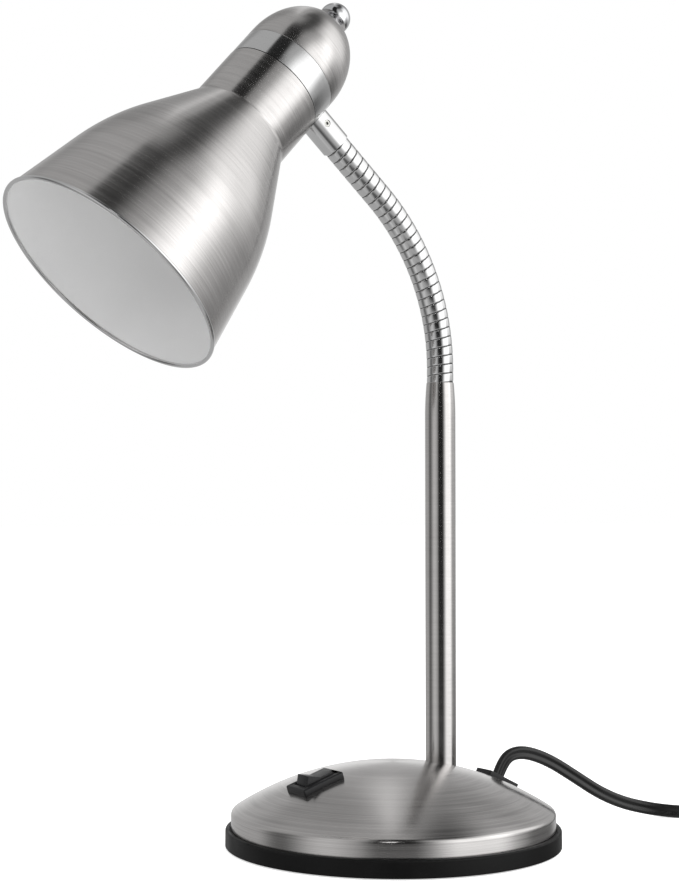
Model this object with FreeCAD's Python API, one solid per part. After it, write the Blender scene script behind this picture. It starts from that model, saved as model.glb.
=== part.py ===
import FreeCAD, Part
import math
import os

# Gooseneck desk lamp, millimetres. Z is up and the underside rests on z = 0.
# The pole stands behind the middle of the round base, on +Y. The shade and the switch face -Y.

# Foot tray, the black ring under the base
TRAY_R = 75.0
TRAY_WALL = 2.2
TRAY_HEIGHT = 8.0
TRAY_LIFT = 0.6
TRAY_FLOOR = 2.2
TRAY_EDGE_R = 0.8
PAD_THICK = 1.4
PAD_INSET = 6.0
PAD_GAP = 0.3

# Domed base cover
COVER_INSET = 2.5
COVER_WALL = 0.8
DOME_R = 133.0
DOME_TOP = 36.8
COVER_EDGE_R = 2.5
COVER_GAP = 0.1

# Ballast and its fixings
BALLAST_INSET = 6.5
BALLAST_THICK = 10.0
BALLAST_EDGE = 2.0
BALLAST_GAP = 0.1
SWITCH_WELL_WIDER = 2.0
SWITCH_WELL_LONGER = 3.0
TRAY_SCREW_COUNT = 3
TRAY_SCREW_INSET = 12.0
TRAY_SCREW_TURN = 30.0
TRAY_SCREW_R = 2.0
TRAY_SCREW_HEAD_R = 3.8
TRAY_SCREW_HEAD = 1.9
TRAY_SCREW_LENGTH = 8.0
HOLE_GAP = 0.15

# Pole
POLE_Y = 26.6
POLE_R = 7.0
POLE_WALL = 1.0
POLE_TOP = 207.9
POLE_CRIMP = 16.0
POLE_CRIMP_SWELL = 0.12
POLE_TOP_R = 6.3
POLE_LEAD_HOLE_R = 2.6
POLE_LEAD_HOLE_LIFT = 14.0
FOOT_PLUG = 8.0
FOOT_BOLT_R = 4.0
FOOT_BOLT_HEAD = 4.0
FOOT_BOLT_FLATS = 13.0
FOOT_BOLT_SHORT = 1.0
FOOT_WASHER_R = 8.5
FOOT_WASHER = 1.2
FOOT_WASHER_WELL_GAP = 1.0
TOP_BUSH = 12.0

# Gooseneck, a ribbed tube of short links on ball joints
LINK_COUNT = 10
LINK_PITCH = 12.38
RIBS_PER_LINK = 3
RIB_R = 6.1
VALLEY_R = 5.3
BALL_R = 5.0
BALL_GAP = 0.07
BALL_CROWN_R = 3.5
JOINT_GAP = 1.05
NECK_BORE_R = 2.2
STUB_R = 4.2
STUB_GAP = 0.1
NECK_BENT_JOINTS = 7
HEAD_PITCH = 48.2
LEAD_R = 1.8
LEAD_GAP = 0.5

# Ferrule between the gooseneck and the head
FERRULE_R = 6.75
FERRULE_LENGTH = 14.8
FERRULE_BEHIND = 7.1
FERRULE_STEP = 1.2
FERRULE_BORE_R = 2.6
FERRULE_SPIGOT_R = 4.8
FERRULE_SPIGOT_PAST = 2.0
FERRULE_NUT = 3.0
FERRULE_NUT_FLATS = 13.0
FERRULE_SADDLE_GAP = 0.1
NECK_END_GAP = 0.4
SET_SCREW_R = 1.5
SET_SCREW_FROM_SADDLE = 3.4
SET_SCREW_TOUCH = 0.05
SET_SCREW_SUNK = 0.25
SET_SCREW_SOCKET_R = 0.75
SET_SCREW_SOCKET = 0.95

# Head, sizes along its axis from the back edge of the shade sleeve
SLEEVE_R = 23.4
SHEET = 0.8
SLEEVE_LENGTH = 25.6
SHADE_LENGTH = 116.5
MOUTH_R = 53.0
CONE_SLOPE = 27.0
SKIRT_SLOPE = 10.0
SHADE_BEND_R = 110.0
RIM_BEAD_R = 0.9
BAND_LENGTH = 11.8
BAND_R = 23.3
BAND_WALL = 1.2
BAND_SPIGOT = 9.0
BAND_SPIGOT_THINNER = 0.4
BAND_LEDGE = 1.6
CAP_SPIGOT = 3.0
SEAM = 0.1
CAP_STRAIGHT = 4.2
CAP_HEIGHT = 29.5
FINIAL_R = 7.0
FINIAL_FLAT = 1.6
FINIAL_COLLAR_R = 4.2
FINIAL_COLLAR = 2.0
STUD_R = 2.0
STUD_BITE = 1.0

# Lamp socket
BRACKET_THICK = 1.5
BRACKET_BOSS_WALL = 2.2
BRACKET_BOSS = 4.0
BRACKET_LEAD_GAP = 1.0
SOCKET_R = 17.5
SOCKET_LENGTH = 35.0
SOCKET_BASE = 8.0
SOCKET_FOOT_EDGE = 1.5
SOCKET_LIP_EDGE = 1.0
SOCKET_LEAD_GAP = 0.6
SOCKET_LEAD_REACH = 5.0
SHELL_BORE_R = 13.2
SHELL_WALL = 0.6
SHELL_LENGTH = 24.0
SHELL_FLOOR_RIM = 4.0
SHELL_GAP = 0.15
CONTACT_R = 3.5
CONTACT_TAPER = 1.5
CONTACT_EDGE = 0.5
CONTACT_HIGH = 2.5
CONTACT_BELOW = 0.1
SOCKET_SCREW_R = 1.5
SOCKET_SCREW_RING_R = 10.0
SOCKET_SCREW_HEAD_R = 3.0
SOCKET_SCREW_HEAD = 1.6
SOCKET_SCREW_REACH = 4.5
SOCKET_SCREW_END_GAP = 0.5

# Rocker switch on the front of the dome
SWITCH_FROM_EDGE = 31.5
BEZEL_LONG = 21.0
BEZEL_WIDE = 15.0
BEZEL_TOP = 2.5
BEZEL_CORNER_R = 0.6
BEZEL_CHAMFER = 0.5
SEAT_GAP = 0.05
HOUSING_LONG = 19.0
HOUSING_WIDE = 12.8
HOUSING_DEEP = 12.0
HOUSING_FLOOR = 1.2
ROCKER_LONG = 15.0
ROCKER_WIDE = 8.6
ROCKER_GAP = 0.3
ROCKER_TILT = 13.0
ROCKER_CREST = 4.0
ROCKER_DEEP = 2.2
ROCKER_KEEL = 1.4
ROCKER_KEEL_HALF = 2.0
ROCKER_KEEL_RUN = 2.5
ROCKER_ROOF = 1.6
PIVOT_DROP = 3.0
TRUNNION_R = 1.4
TRUNNION = 1.2
TRUNNION_END_GAP = 0.1
RUNNING_GAP = 0.06
PLUNGER_R = 0.9
PLUNGER_REACH = 5.6
PLUNGER_LENGTH = 4.2
SPRING_WIRE = 0.35
SPRING_GAP = 0.1
LEVER_TILT = 8.0
LEVER_LONG = 10.0
LEVER_WIDE = 3.0
LEVER_THICK = 0.6
LEVER_GAP = 0.25
BUTTON_R = 1.0
BUTTON_RISE = 0.6
BUTTON_INSET = 1.2
TERMINAL_WIDE = 4.8
TERMINAL_THICK = 0.8
TERMINAL_TAIL = 5.0
TERMINAL_SPREAD = 7.0
TERMINAL_GAP = 0.05
CONTACT_SHELF = 4.0

# Cord, its bushing and the plug
BUSHING_FROM_EDGE = 14.0
BUSHING_LONG = 18.5
BUSHING_WIDE = 11.0
BUSHING_TOP = 2.35
BUSHING_CORNER_R = 1.0
BUSHING_NECK_LONG = 11.0
BUSHING_NECK_WIDE = 8.0
BUSHING_UNDER_ROOM = 3.5
CORD_R = 3.1
CORD_LIFT = 0.05
CORD_RISE = 6.2
CORD_BENDS = [
    (0.8, 66.8, 35.2),
    (1.9, 75.2, 35.4),
    (3.6, 87.6, 30.8),
    (5.6, 101.4, 22.4),
    (7.6, 115.0, 13.8),
    (9.4, 127.6, 8.2),
    (12.2, 139.4, 4.9),
]
CORD_TABLE_BENDS = [
    (18.0, 149.2),
    (27.5, 156.6),
    (41.0, 160.6),
    (57.5, 160.0),
]
COIL_X = 81.0
COIL_Y = 206.0
COIL_R = 46.0
COIL_STEP = 6.9
COIL_TURNS = 7
COIL_LAYER_GAP = 0.5
PLUG_LONG = 30.0
PLUG_WIDE = 23.0
PLUG_HIGH = 14.0
PLUG_NOSE = 8.0
PLUG_NOSE_WALL = 1.0
BLADE_LONG = 17.0
BLADE_HIGH = 6.3
BLADE_THICK = 1.5
BLADE_SPACING = 12.7

# Leads inside the base
CONNECTOR_R = 3.9
CONNECTOR_TIP_R = 2.7
CONNECTOR_LONG = 14.0
CONNECTOR_X = -22.0
CONNECTOR_SPACING = 8.4
SPLICE_GAP = 0.3
INNER_CORD_R = 1.9
SWITCH_LEAD_R = 0.9
SWITCH_LEAD_SIDE = 4.0
SWITCH_LEAD_STEP = 3.0
SWITCH_LEAD_LIFT = 2.4
LEAD_BEND_R = 5.0
POLE_LEAD_BEND_R = 4.0
LEAD_SIDE_STEP = 1.2

# How far a cutting shape reaches past the face that it cuts
CUT = 1.0

# Places worked out from the sizes above
PAD_R = TRAY_R - PAD_INSET
COVER_R = TRAY_R - COVER_INSET
BALLAST_R = COVER_R - BALLAST_INSET
TRAY_SCREW_RING_R = BALLAST_R - TRAY_SCREW_INSET
SWITCH_Y = SWITCH_FROM_EDGE - COVER_R
BUSHING_Y = COVER_R - BUSHING_FROM_EDGE
TRAY_FLOOR_TOP = PAD_THICK + TRAY_FLOOR
DOME_CENTRE = DOME_TOP - DOME_R
BALLAST_BASE = TRAY_FLOOR_TOP + BALLAST_GAP
BALLAST_TOP = BALLAST_BASE + BALLAST_THICK
WASHER_TOP = BALLAST_BASE + FOOT_BOLT_HEAD + FOOT_WASHER + HOLE_GAP
POLE_FOOT = BALLAST_TOP + BALLAST_GAP
POLE_BORE_R = POLE_R - POLE_WALL
POLE_SHOULDER = POLE_TOP - POLE_CRIMP
JOINT_BEND = HEAD_PITCH / NECK_BENT_JOINTS
RIB_PITCH = LINK_PITCH / RIBS_PER_LINK
FERRULE_END = SLEEVE_R + FERRULE_LENGTH
BAND_BORE_R = BAND_R - BAND_WALL
SPIGOT_BORE_R = BAND_BORE_R - BAND_SPIGOT_THINNER
CAP_SHOULDER = -(BAND_LENGTH + CAP_STRAIGHT)
CAP_TOP = CAP_SHOULDER - CAP_HEIGHT
FINIAL_SEAT = CAP_TOP - FINIAL_COLLAR
BRACKET_BASE = BRACKET_THICK + SEAM
SOCKET_FOOT = BRACKET_BASE + BRACKET_THICK + SEAM
SHELL_FLOOR = SOCKET_FOOT + SOCKET_BASE + SHELL_GAP
CONTACT_TOP = SHELL_FLOOR + SHELL_WALL - CONTACT_BELOW
CONTACT_SEAT = CONTACT_TOP - CONTACT_HIGH
PIVOT_HEIGHT = BEZEL_TOP - PIVOT_DROP
LEVER_PIVOT_HEIGHT = PIVOT_HEIGHT - PLUNGER_REACH - LEVER_GAP - LEVER_THICK
TRUNNION_SPAN = ROCKER_WIDE + 2 * ROCKER_GAP + 2 * TRUNNION
CONNECTOR_Z = BALLAST_TOP + CONNECTOR_R + SPLICE_GAP
CONNECTOR_MOUTH = CONNECTOR_X + SPLICE_GAP
CORD_AXIS_Z = CORD_R + CORD_LIFT
PLUG_AXIS_Z = PLUG_HIGH / 2 + CORD_LIFT


def vec(x, y, z):
    return FreeCAD.Vector(x, y, z)


def save(shape, name):
    """Write one solid, or one group of solids, as a part file."""
    shape.exportStep("parts/" + name + ".step")


# Shapes that are used again and again

def arc_item(centre_z, start, end):
    """Path item for an arc round a centre on the Z axis, from one (r, z) to another."""
    radius = math.hypot(end[0], end[1] - centre_z)
    first = math.atan2(start[1] - centre_z, start[0])
    second = math.atan2(end[1] - centre_z, end[0])
    middle = (first + second) / 2
    return end[0], end[1], radius * math.cos(middle), centre_z + radius * math.sin(middle)


def face_from(path):
    """Closed face in the XZ plane. A path item is a corner (r, z) or an arc (r, z, mid_r, mid_z)."""
    edges = []
    start = vec(path[0][0], 0, path[0][1])
    for item in path[1:] + [path[0][:2]]:
        end = vec(item[0], 0, item[1])
        if len(item) == 4:
            edges.append(Part.Arc(start, vec(item[2], 0, item[3]), end).toShape())
        elif (end - start).Length > 1e-6:
            edges.append(Part.LineSegment(start, end).toShape())
        start = end
    return Part.Face(Part.Wire(edges))


def turned(path):
    """Solid of revolution about Z."""
    return face_from(path).revolve(vec(0, 0, 0), vec(0, 0, 1), 360)


def rod(radius, bottom, top, x=0.0, y=0.0):
    """Upright cylinder between two heights."""
    return Part.makeCylinder(radius, top - bottom, vec(x, y, bottom))


def tube(outer, inner, bottom, top, x=0.0, y=0.0):
    """Upright tube between two heights."""
    return rod(outer, bottom, top, x, y).cut(rod(inner, bottom, top, x, y))


def rod_along_x(radius, start, end, y, z):
    """Cylinder along X between two places."""
    return Part.makeCylinder(radius, end - start, vec(start, y, z), vec(1, 0, 0))


def block(long_x, long_y, bottom, top, x=0.0, y=0.0):
    """Upright box centred on x, y between two heights."""
    return Part.makeBox(long_x, long_y, top - bottom, vec(x - long_x / 2, y - long_y / 2, bottom))


def rounded_block(long_x, long_y, bottom, top, corner):
    """Box with rounded upright edges."""
    box = block(long_x, long_y, bottom, top)
    upright = [edge for edge in box.Edges if abs(edge.tangentAt(0).z) > 0.99]
    return box.makeFillet(corner, upright)


def rectangle(long_x, long_y, z):
    corners = [(-1, -1), (1, -1), (1, 1), (-1, 1), (-1, -1)]
    return Part.makePolygon([vec(sx * long_x / 2, sy * long_y / 2, z) for sx, sy in corners])


def hexagon(flats, bottom, top, x=0.0, y=0.0):
    """Upright hexagonal prism by its width across flats."""
    corner = flats / math.sqrt(3)
    turns = [math.radians(60 * i) for i in range(7)]
    points = [vec(x + corner * math.cos(turn), y + corner * math.sin(turn), bottom) for turn in turns]
    return Part.Face(Part.makePolygon(points)).extrude(vec(0, 0, top - bottom))


def placed(shape, placement):
    copy = shape.copy()
    copy.Placement = placement.multiply(copy.Placement)
    return copy


def bend_radii(points, largest=None):
    """Bend radius at each inner point: 0.45 of the shorter run over the tangent of half the turn."""
    radii = []
    for before, here, after in zip(points, points[1:], points[2:]):
        run_in = here - before
        run_out = after - here
        half_turn = run_in.getAngle(run_out) / 2
        radius = 0.45 * min(run_in.Length, run_out.Length) / math.tan(half_turn)
        radii.append(radius if largest is None else min(radius, largest))
    return radii


def bent_path(points, largest=None):
    """Wire of straight runs joined by tangent arcs."""
    edges = []
    start = points[0]
    for i, radius in enumerate(bend_radii(points, largest)):
        here = points[i + 1]
        into = (here - points[i]).normalize()
        out = (points[i + 2] - here).normalize()
        half_turn = into.getAngle(out) / 2
        setback = radius * math.tan(half_turn)
        arc_start = here - into * setback
        arc_end = here + out * setback
        inward = (out - into).normalize()
        middle = here + inward * (radius / math.cos(half_turn) - radius)
        edges.append(Part.LineSegment(start, arc_start).toShape())
        edges.append(Part.Arc(arc_start, middle, arc_end).toShape())
        start = arc_end
    edges.append(Part.LineSegment(start, points[-1]).toShape())
    return Part.Wire(edges)


def swept(path, radius):
    """Round tube along a path."""
    start = path.OrderedEdges[0]
    centre = start.valueAt(start.FirstParameter)
    along = start.tangentAt(start.FirstParameter)
    if (path.OrderedVertexes[0].Point - centre).Length > 1e-6:
        centre = start.valueAt(start.LastParameter)
        along = start.tangentAt(start.LastParameter) * -1
    ring = Part.Wire(Part.makeCircle(radius, centre, along))
    return path.makePipeShell([ring], True, False)


def bent_tube(points, radius, largest=None):
    return swept(bent_path([vec(*p) for p in points], largest), radius)


def on_dome(y):
    """Placement whose Z is the dome's normal at a point of the middle plane."""
    tilt = math.asin(y / DOME_R)
    height = DOME_CENTRE + DOME_R * math.cos(tilt)
    return FreeCAD.Placement(vec(0, y, height), FreeCAD.Rotation(vec(1, 0, 0), -math.degrees(tilt)))


def bushing_depth():
    """How far the bushing reaches below the dome, with room left under it for the cord's bend."""
    return on_dome(BUSHING_Y).Base.z - BALLAST_TOP - BUSHING_UNDER_ROOM


def dome_drop(long_x, long_y):
    """How far the dome falls away under the corner of a rectangle that touches it in its middle."""
    return DOME_R - math.sqrt(DOME_R ** 2 - (long_x ** 2 + long_y ** 2) / 4)


def seated_on_dome(shape):
    """Cut a fitting, drawn with the dome's surface at z = 0, to sit on the dome."""
    return shape.cut(Part.makeSphere(DOME_R + SEAT_GAP, vec(0, 0, -DOME_R)))


# Base

def dome_profile(inset, bottom):
    """Half section of the cover's outside, moved in by inset, closed down to bottom."""
    sphere = DOME_R - inset
    wall = COVER_R - inset
    edge = COVER_EDGE_R - inset
    # The edge round touches the upright wall and the inside of the sphere.
    centre_r = wall - edge
    centre_z = DOME_CENTRE + math.sqrt((sphere - edge) ** 2 - centre_r ** 2)
    lean = math.atan2(centre_r, centre_z - DOME_CENTRE)
    half_lean = (lean + math.pi / 2) / 2
    meet = (sphere * math.sin(lean), DOME_CENTRE + sphere * math.cos(lean))
    round_middle = (centre_r + edge * math.sin(half_lean), centre_z + edge * math.cos(half_lean))
    return [(0, bottom), (wall, bottom), (wall, centre_z), meet + round_middle,
            arc_item(DOME_CENTRE, meet, (0, DOME_TOP - inset))]


def tray_screw_places():
    places = []
    for i in range(TRAY_SCREW_COUNT):
        angle = math.radians(TRAY_SCREW_TURN + 360 * i / TRAY_SCREW_COUNT)
        places.append((TRAY_SCREW_RING_R * math.cos(angle), TRAY_SCREW_RING_R * math.sin(angle)))
    return places


def tray_screw(x, y, gap=0.0):
    """Countersunk screw from below, or the hole that takes it when it has a gap."""
    head = Part.makeCone(TRAY_SCREW_HEAD_R + gap, TRAY_SCREW_R + gap, TRAY_SCREW_HEAD, vec(x, y, PAD_THICK))
    shank_top = PAD_THICK + TRAY_SCREW_LENGTH + gap
    return head.fuse(rod(TRAY_SCREW_R + gap, PAD_THICK, shank_top, x, y)).removeSplitter()


def tray_screws():
    return Part.makeCompound([tray_screw(x, y) for x, y in tray_screw_places()])


def base_tray():
    inner = max(COVER_R + COVER_GAP, TRAY_R - TRAY_WALL)
    edge_middle = TRAY_EDGE_R * (1 - math.sqrt(0.5))
    tray = turned([(0, PAD_THICK), (PAD_R + PAD_GAP, PAD_THICK), (PAD_R + PAD_GAP, TRAY_LIFT),
                   (TRAY_R, TRAY_LIFT), (TRAY_R, TRAY_HEIGHT - TRAY_EDGE_R),
                   (TRAY_R - TRAY_EDGE_R, TRAY_HEIGHT, TRAY_R - edge_middle, TRAY_HEIGHT - edge_middle),
                   (inner, TRAY_HEIGHT), (inner, TRAY_FLOOR_TOP), (0, TRAY_FLOOR_TOP)])
    for x, y in tray_screw_places():
        tray = tray.cut(tray_screw(x, y, HOLE_GAP))
    return tray


def base_pad():
    return rod(PAD_R, 0, PAD_THICK)


def dome_slot(long_x, long_y):
    """Cutting block for a slot through the cover, drawn with the dome's surface at z = 0."""
    depth = dome_drop(long_x, long_y) + COVER_WALL + CUT
    return block(long_x + 2 * HOLE_GAP, long_y + 2 * HOLE_GAP, -depth, CUT)


def base_cover():
    """Domed sheet with holes for the pole, the switch and the cord bushing."""
    outer = turned(dome_profile(0, TRAY_FLOOR_TOP))
    inner = turned(dome_profile(COVER_WALL, TRAY_FLOOR_TOP - CUT))
    cover = outer.cut(inner)
    cover = cover.cut(rod(POLE_R + HOLE_GAP, TRAY_HEIGHT, DOME_TOP + CUT, 0, POLE_Y))
    cover = cover.cut(placed(dome_slot(HOUSING_WIDE, HOUSING_LONG), on_dome(SWITCH_Y)))
    return cover.cut(placed(dome_slot(BUSHING_NECK_WIDE, BUSHING_NECK_LONG), on_dome(BUSHING_Y)))


def ballast_weight():
    """Cast disc with the bolt well, the switch well and the tray screw holes."""
    disc = turned([(0, BALLAST_BASE), (BALLAST_R, BALLAST_BASE), (BALLAST_R, BALLAST_TOP - BALLAST_EDGE),
                   (BALLAST_R - BALLAST_EDGE, BALLAST_TOP), (0, BALLAST_TOP)])
    disc = disc.cut(rod(FOOT_BOLT_R + HOLE_GAP, 0, BALLAST_TOP + CUT, 0, POLE_Y))
    disc = disc.cut(rod(FOOT_WASHER_R + FOOT_WASHER_WELL_GAP, 0, WASHER_TOP, 0, POLE_Y))
    switch_well = block(HOUSING_WIDE + 2 * SWITCH_WELL_WIDER, HOUSING_LONG + 2 * SWITCH_WELL_LONGER, -DOME_TOP, 0)
    disc = disc.cut(placed(switch_well, on_dome(SWITCH_Y)))
    for x, y in tray_screw_places():
        disc = disc.cut(tray_screw(x, y, HOLE_GAP))
    return disc


def foot_washer():
    return tube(FOOT_WASHER_R, FOOT_BOLT_R + HOLE_GAP, WASHER_TOP - FOOT_WASHER, WASHER_TOP, 0, POLE_Y)


def foot_bolt():
    """Hexagon bolt from below, through the ballast into the pole's foot plug."""
    head_top = WASHER_TOP - FOOT_WASHER
    head = hexagon(FOOT_BOLT_FLATS, head_top - FOOT_BOLT_HEAD, head_top, 0, POLE_Y)
    return head.fuse(rod(FOOT_BOLT_R, head_top, POLE_FOOT + FOOT_PLUG - FOOT_BOLT_SHORT, 0, POLE_Y))


def pole_foot_plug():
    """Threaded plug fixed in the foot of the pole."""
    return tube(POLE_BORE_R - STUB_GAP, FOOT_BOLT_R + RUNNING_GAP, POLE_FOOT, POLE_FOOT + FOOT_PLUG, 0, POLE_Y)


# Pole

def pole_lead_height():
    return POLE_FOOT + POLE_LEAD_HOLE_LIFT


def pole_tube():
    """Straight tube whose top is drawn in round the gooseneck."""
    mid_z = POLE_TOP - POLE_CRIMP / 2
    mid_r = (POLE_R + POLE_TOP_R) / 2 + POLE_CRIMP_SWELL
    pole = turned([(POLE_BORE_R, POLE_FOOT), (POLE_R, POLE_FOOT), (POLE_R, POLE_SHOULDER),
                   (POLE_TOP_R, POLE_TOP, mid_r, mid_z), (POLE_TOP_R - POLE_WALL, POLE_TOP),
                   (POLE_BORE_R, POLE_SHOULDER, mid_r - POLE_WALL, mid_z)])
    pole.translate(vec(0, POLE_Y, 0))
    return pole.cut(rod_along_x(POLE_LEAD_HOLE_R, -POLE_R - CUT, 0, POLE_Y, pole_lead_height()))


def bush_top():
    return POLE_SHOULDER - STUB_GAP


def top_bush():
    """Bush that centres the gooseneck's stub in the pole."""
    return tube(POLE_BORE_R - STUB_GAP, STUB_R + STUB_GAP, bush_top() - TOP_BUSH, bush_top(), 0, POLE_Y)


# Gooseneck

def link_tilts():
    """Lean of each link from upright towards the front, in degrees."""
    return [JOINT_BEND * min(i, NECK_BENT_JOINTS) for i in range(LINK_COUNT)]


def lean_vector(tilt):
    return vec(0, -math.sin(math.radians(tilt)), math.cos(math.radians(tilt)))


def link_starts():
    """Lower end of each link on the neck's centreline, and the end of the last one."""
    points = [vec(0, POLE_Y, POLE_TOP)]
    for tilt in link_tilts():
        points.append(points[-1] + lean_vector(tilt) * LINK_PITCH)
    return points


def link_placement(i):
    return FreeCAD.Placement(link_starts()[i], FreeCAD.Rotation(vec(1, 0, 0), link_tilts()[i]))


def rib_outline(bottom, top):
    """Outside of the ribs from bottom to top, as arcs that swell from valley to crest."""
    path = []
    for k in range(RIBS_PER_LINK):
        low = max(k * RIB_PITCH, bottom)
        high = min((k + 1) * RIB_PITCH, top)
        path.append((VALLEY_R, low))
        path.append((VALLEY_R, high, RIB_R, (low + high) / 2))
    return path


def stub_outline(bottom):
    """Foot of the first link, a plain stub down into the pole."""
    depth = -(POLE_CRIMP + TOP_BUSH)
    return [(NECK_BORE_R, depth), (STUB_R, depth), (STUB_R, bottom)]


def cup_outline(bottom):
    """Foot of the other links, a cup round the ball of the link below."""
    cup_r = BALL_R + BALL_GAP
    inner = (NECK_BORE_R, math.sqrt(cup_r ** 2 - NECK_BORE_R ** 2))
    mouth = (math.sqrt(cup_r ** 2 - bottom ** 2), bottom)
    return [inner, arc_item(0, inner, mouth)]


def ball_outline():
    """Ball at the top of a link, centred on the next joint, with a conical mouth for the lead."""
    neck = (math.sqrt(BALL_R ** 2 - JOINT_GAP ** 2), LINK_PITCH - JOINT_GAP)
    crown = (BALL_CROWN_R, LINK_PITCH + math.sqrt(BALL_R ** 2 - BALL_CROWN_R ** 2))
    return [neck, arc_item(LINK_PITCH, neck, crown), (NECK_BORE_R, LINK_PITCH)]


def end_outline(top):
    """Top of the last link, a stub into the ferrule."""
    end = LINK_PITCH + FERRULE_LENGTH - FERRULE_STEP - NECK_END_GAP
    return [(STUB_R, top), (STUB_R, end), (NECK_BORE_R, end)]


def gooseneck_link(i):
    """One link: ribs outside, a ball at its top and a cup at its bottom, with a bore for the lead."""
    first = i == 0
    last = i == LINK_COUNT - 1
    bottom = STUB_GAP if first else JOINT_GAP
    top = LINK_PITCH - (STUB_GAP if last else JOINT_GAP)
    foot = stub_outline(bottom) if first else cup_outline(bottom)
    head = end_outline(top) if last else ball_outline()
    return placed(turned(foot + rib_outline(bottom, top) + head), link_placement(i))


def neck_lead(i):
    """Lead inside one link. Neighbouring lengths stop short of each other at the joint."""
    bottom = LEAD_GAP
    top = LINK_PITCH - LEAD_GAP
    if i == 0:
        bottom = -(POLE_CRIMP + TOP_BUSH)
    if i == LINK_COUNT - 1:
        top = LINK_PITCH + FERRULE_LENGTH - FERRULE_STEP - NECK_END_GAP - LEAD_GAP
    return placed(rod(LEAD_R, bottom, top), link_placement(i))


# Head, drawn with its axis on Z and the mouth of the shade upwards, then placed

def neck_end():
    return link_starts()[-1]


def head_placement():
    """Z runs along the head's axis to the mouth, and -Y points back to the gooseneck."""
    turn = FreeCAD.Rotation(vec(1, 0, 0), 90 + HEAD_PITCH)
    axis = turn.multVec(vec(0, 0, 1))
    on_axis = neck_end() + lean_vector(HEAD_PITCH) * FERRULE_END
    return FreeCAD.Placement(on_axis + axis * FERRULE_BEHIND, turn)


def shade_profile(inset, bottom, top):
    """Half section of the shade's outside moved in by inset, closed between two heights."""
    cone = math.radians(CONE_SLOPE)
    skirt = math.radians(SKIRT_SLOPE)
    # Corner of the two slopes, from the end of the sleeve and the mouth.
    start_z = SLEEVE_LENGTH + inset * math.tan(cone / 2)
    start_r = SLEEVE_R - inset
    end_r = MOUTH_R - inset / math.cos(skirt)
    rise_to_mouth = end_r - start_r - SHADE_LENGTH * math.tan(skirt) + start_z * math.tan(cone)
    corner_z = rise_to_mouth / (math.tan(cone) - math.tan(skirt))
    corner_r = start_r + (corner_z - start_z) * math.tan(cone)
    bend_r = SHADE_BEND_R - inset
    half_turn = (cone - skirt) / 2
    setback = bend_r * math.tan(half_turn)
    mean = (cone + skirt) / 2
    rise = bend_r / math.cos(half_turn) - bend_r
    top_r = end_r + (top - SHADE_LENGTH) * math.tan(skirt)
    return [(0, bottom), (start_r, bottom), (start_r, start_z),
            (corner_r - setback * math.sin(cone), corner_z - setback * math.cos(cone)),
            (corner_r + setback * math.sin(skirt), corner_z + setback * math.cos(skirt),
             corner_r - rise * math.cos(mean), corner_z + rise * math.sin(mean)),
            (top_r, top), (0, top)]


def shade():
    """Spun bell and sleeve in one sheet, with a rolled bead round the mouth."""
    outside = turned(shade_profile(0, SEAM, SHADE_LENGTH))
    inside = turned(shade_profile(SHEET, SEAM - CUT, SHADE_LENGTH + CUT))
    bead = Part.makeTorus(MOUTH_R - SHEET / 2, RIM_BEAD_R, vec(0, 0, SHADE_LENGTH - RIM_BEAD_R / 2))
    return outside.cut(inside).fuse(bead).removeSplitter()


def polished_band():
    """Ring that carries the shade's sleeve in front, the cap behind and the ferrule below."""
    sleeve_fit_r = SLEEVE_R - SHEET - SEAM
    cap_fit_r = BAND_R - SHEET - SEAM
    ledge_r = BAND_BORE_R - BAND_LEDGE
    back = -BAND_LENGTH - CAP_SPIGOT
    ring = turned([(BAND_BORE_R, back), (cap_fit_r, back), (cap_fit_r, -BAND_LENGTH), (BAND_R, -BAND_LENGTH),
                   (BAND_R, 0), (sleeve_fit_r, 0), (sleeve_fit_r, BAND_SPIGOT), (SPIGOT_BORE_R, BAND_SPIGOT),
                   (SPIGOT_BORE_R, BRACKET_THICK), (ledge_r, BRACKET_THICK), (ledge_r, 0), (BAND_BORE_R, 0)])
    return ring.cut(ferrule_axis(0, BAND_R + CUT, FERRULE_SPIGOT_R + HOLE_GAP))


def quarter_ellipse(edge, shoulder, height):
    """Quarter ellipse from (edge, shoulder) to the axis below it, as a curve in the XZ plane."""
    centre = vec(0, 0, shoulder)
    side = centre + vec(edge, 0, 0)
    apex = centre - vec(0, 0, height)
    if height >= edge:
        curve = Part.Ellipse(apex, side, centre)
    else:
        curve = Part.Ellipse(side, apex, centre)
    low, high = sorted((curve.parameter(side), curve.parameter(apex)))
    if high - low > math.pi:
        low, high = high, low + 2 * math.pi
    return Part.ArcOfEllipse(curve, low, high).toShape()


def cap_core(inset, base):
    """Solid cap moved in by inset, closed at base."""
    edge = BAND_R - inset
    apex = vec(0, 0, CAP_TOP + inset)
    foot = vec(0, 0, base)
    rim = vec(edge, 0, base)
    shoulder = vec(edge, 0, CAP_SHOULDER)
    curve = quarter_ellipse(edge, CAP_SHOULDER, CAP_HEIGHT - inset)
    lines = [Part.LineSegment(a, b).toShape() for a, b in ((apex, foot), (foot, rim), (rim, shoulder))]
    outline = Part.Wire(Part.__sortEdges__([curve] + lines))
    return Part.Face(outline).revolve(vec(0, 0, 0), vec(0, 0, 1), 360)


def cap_dome():
    """Closed back of the head, a push fit on the band, with a hole for the stud."""
    base = -BAND_LENGTH - SEAM
    shell = cap_core(0, base).cut(cap_core(SHEET, base + CUT))
    return shell.cut(rod(STUD_R + HOLE_GAP, CAP_TOP - CUT, CAP_TOP + SHEET + CUT))


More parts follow.
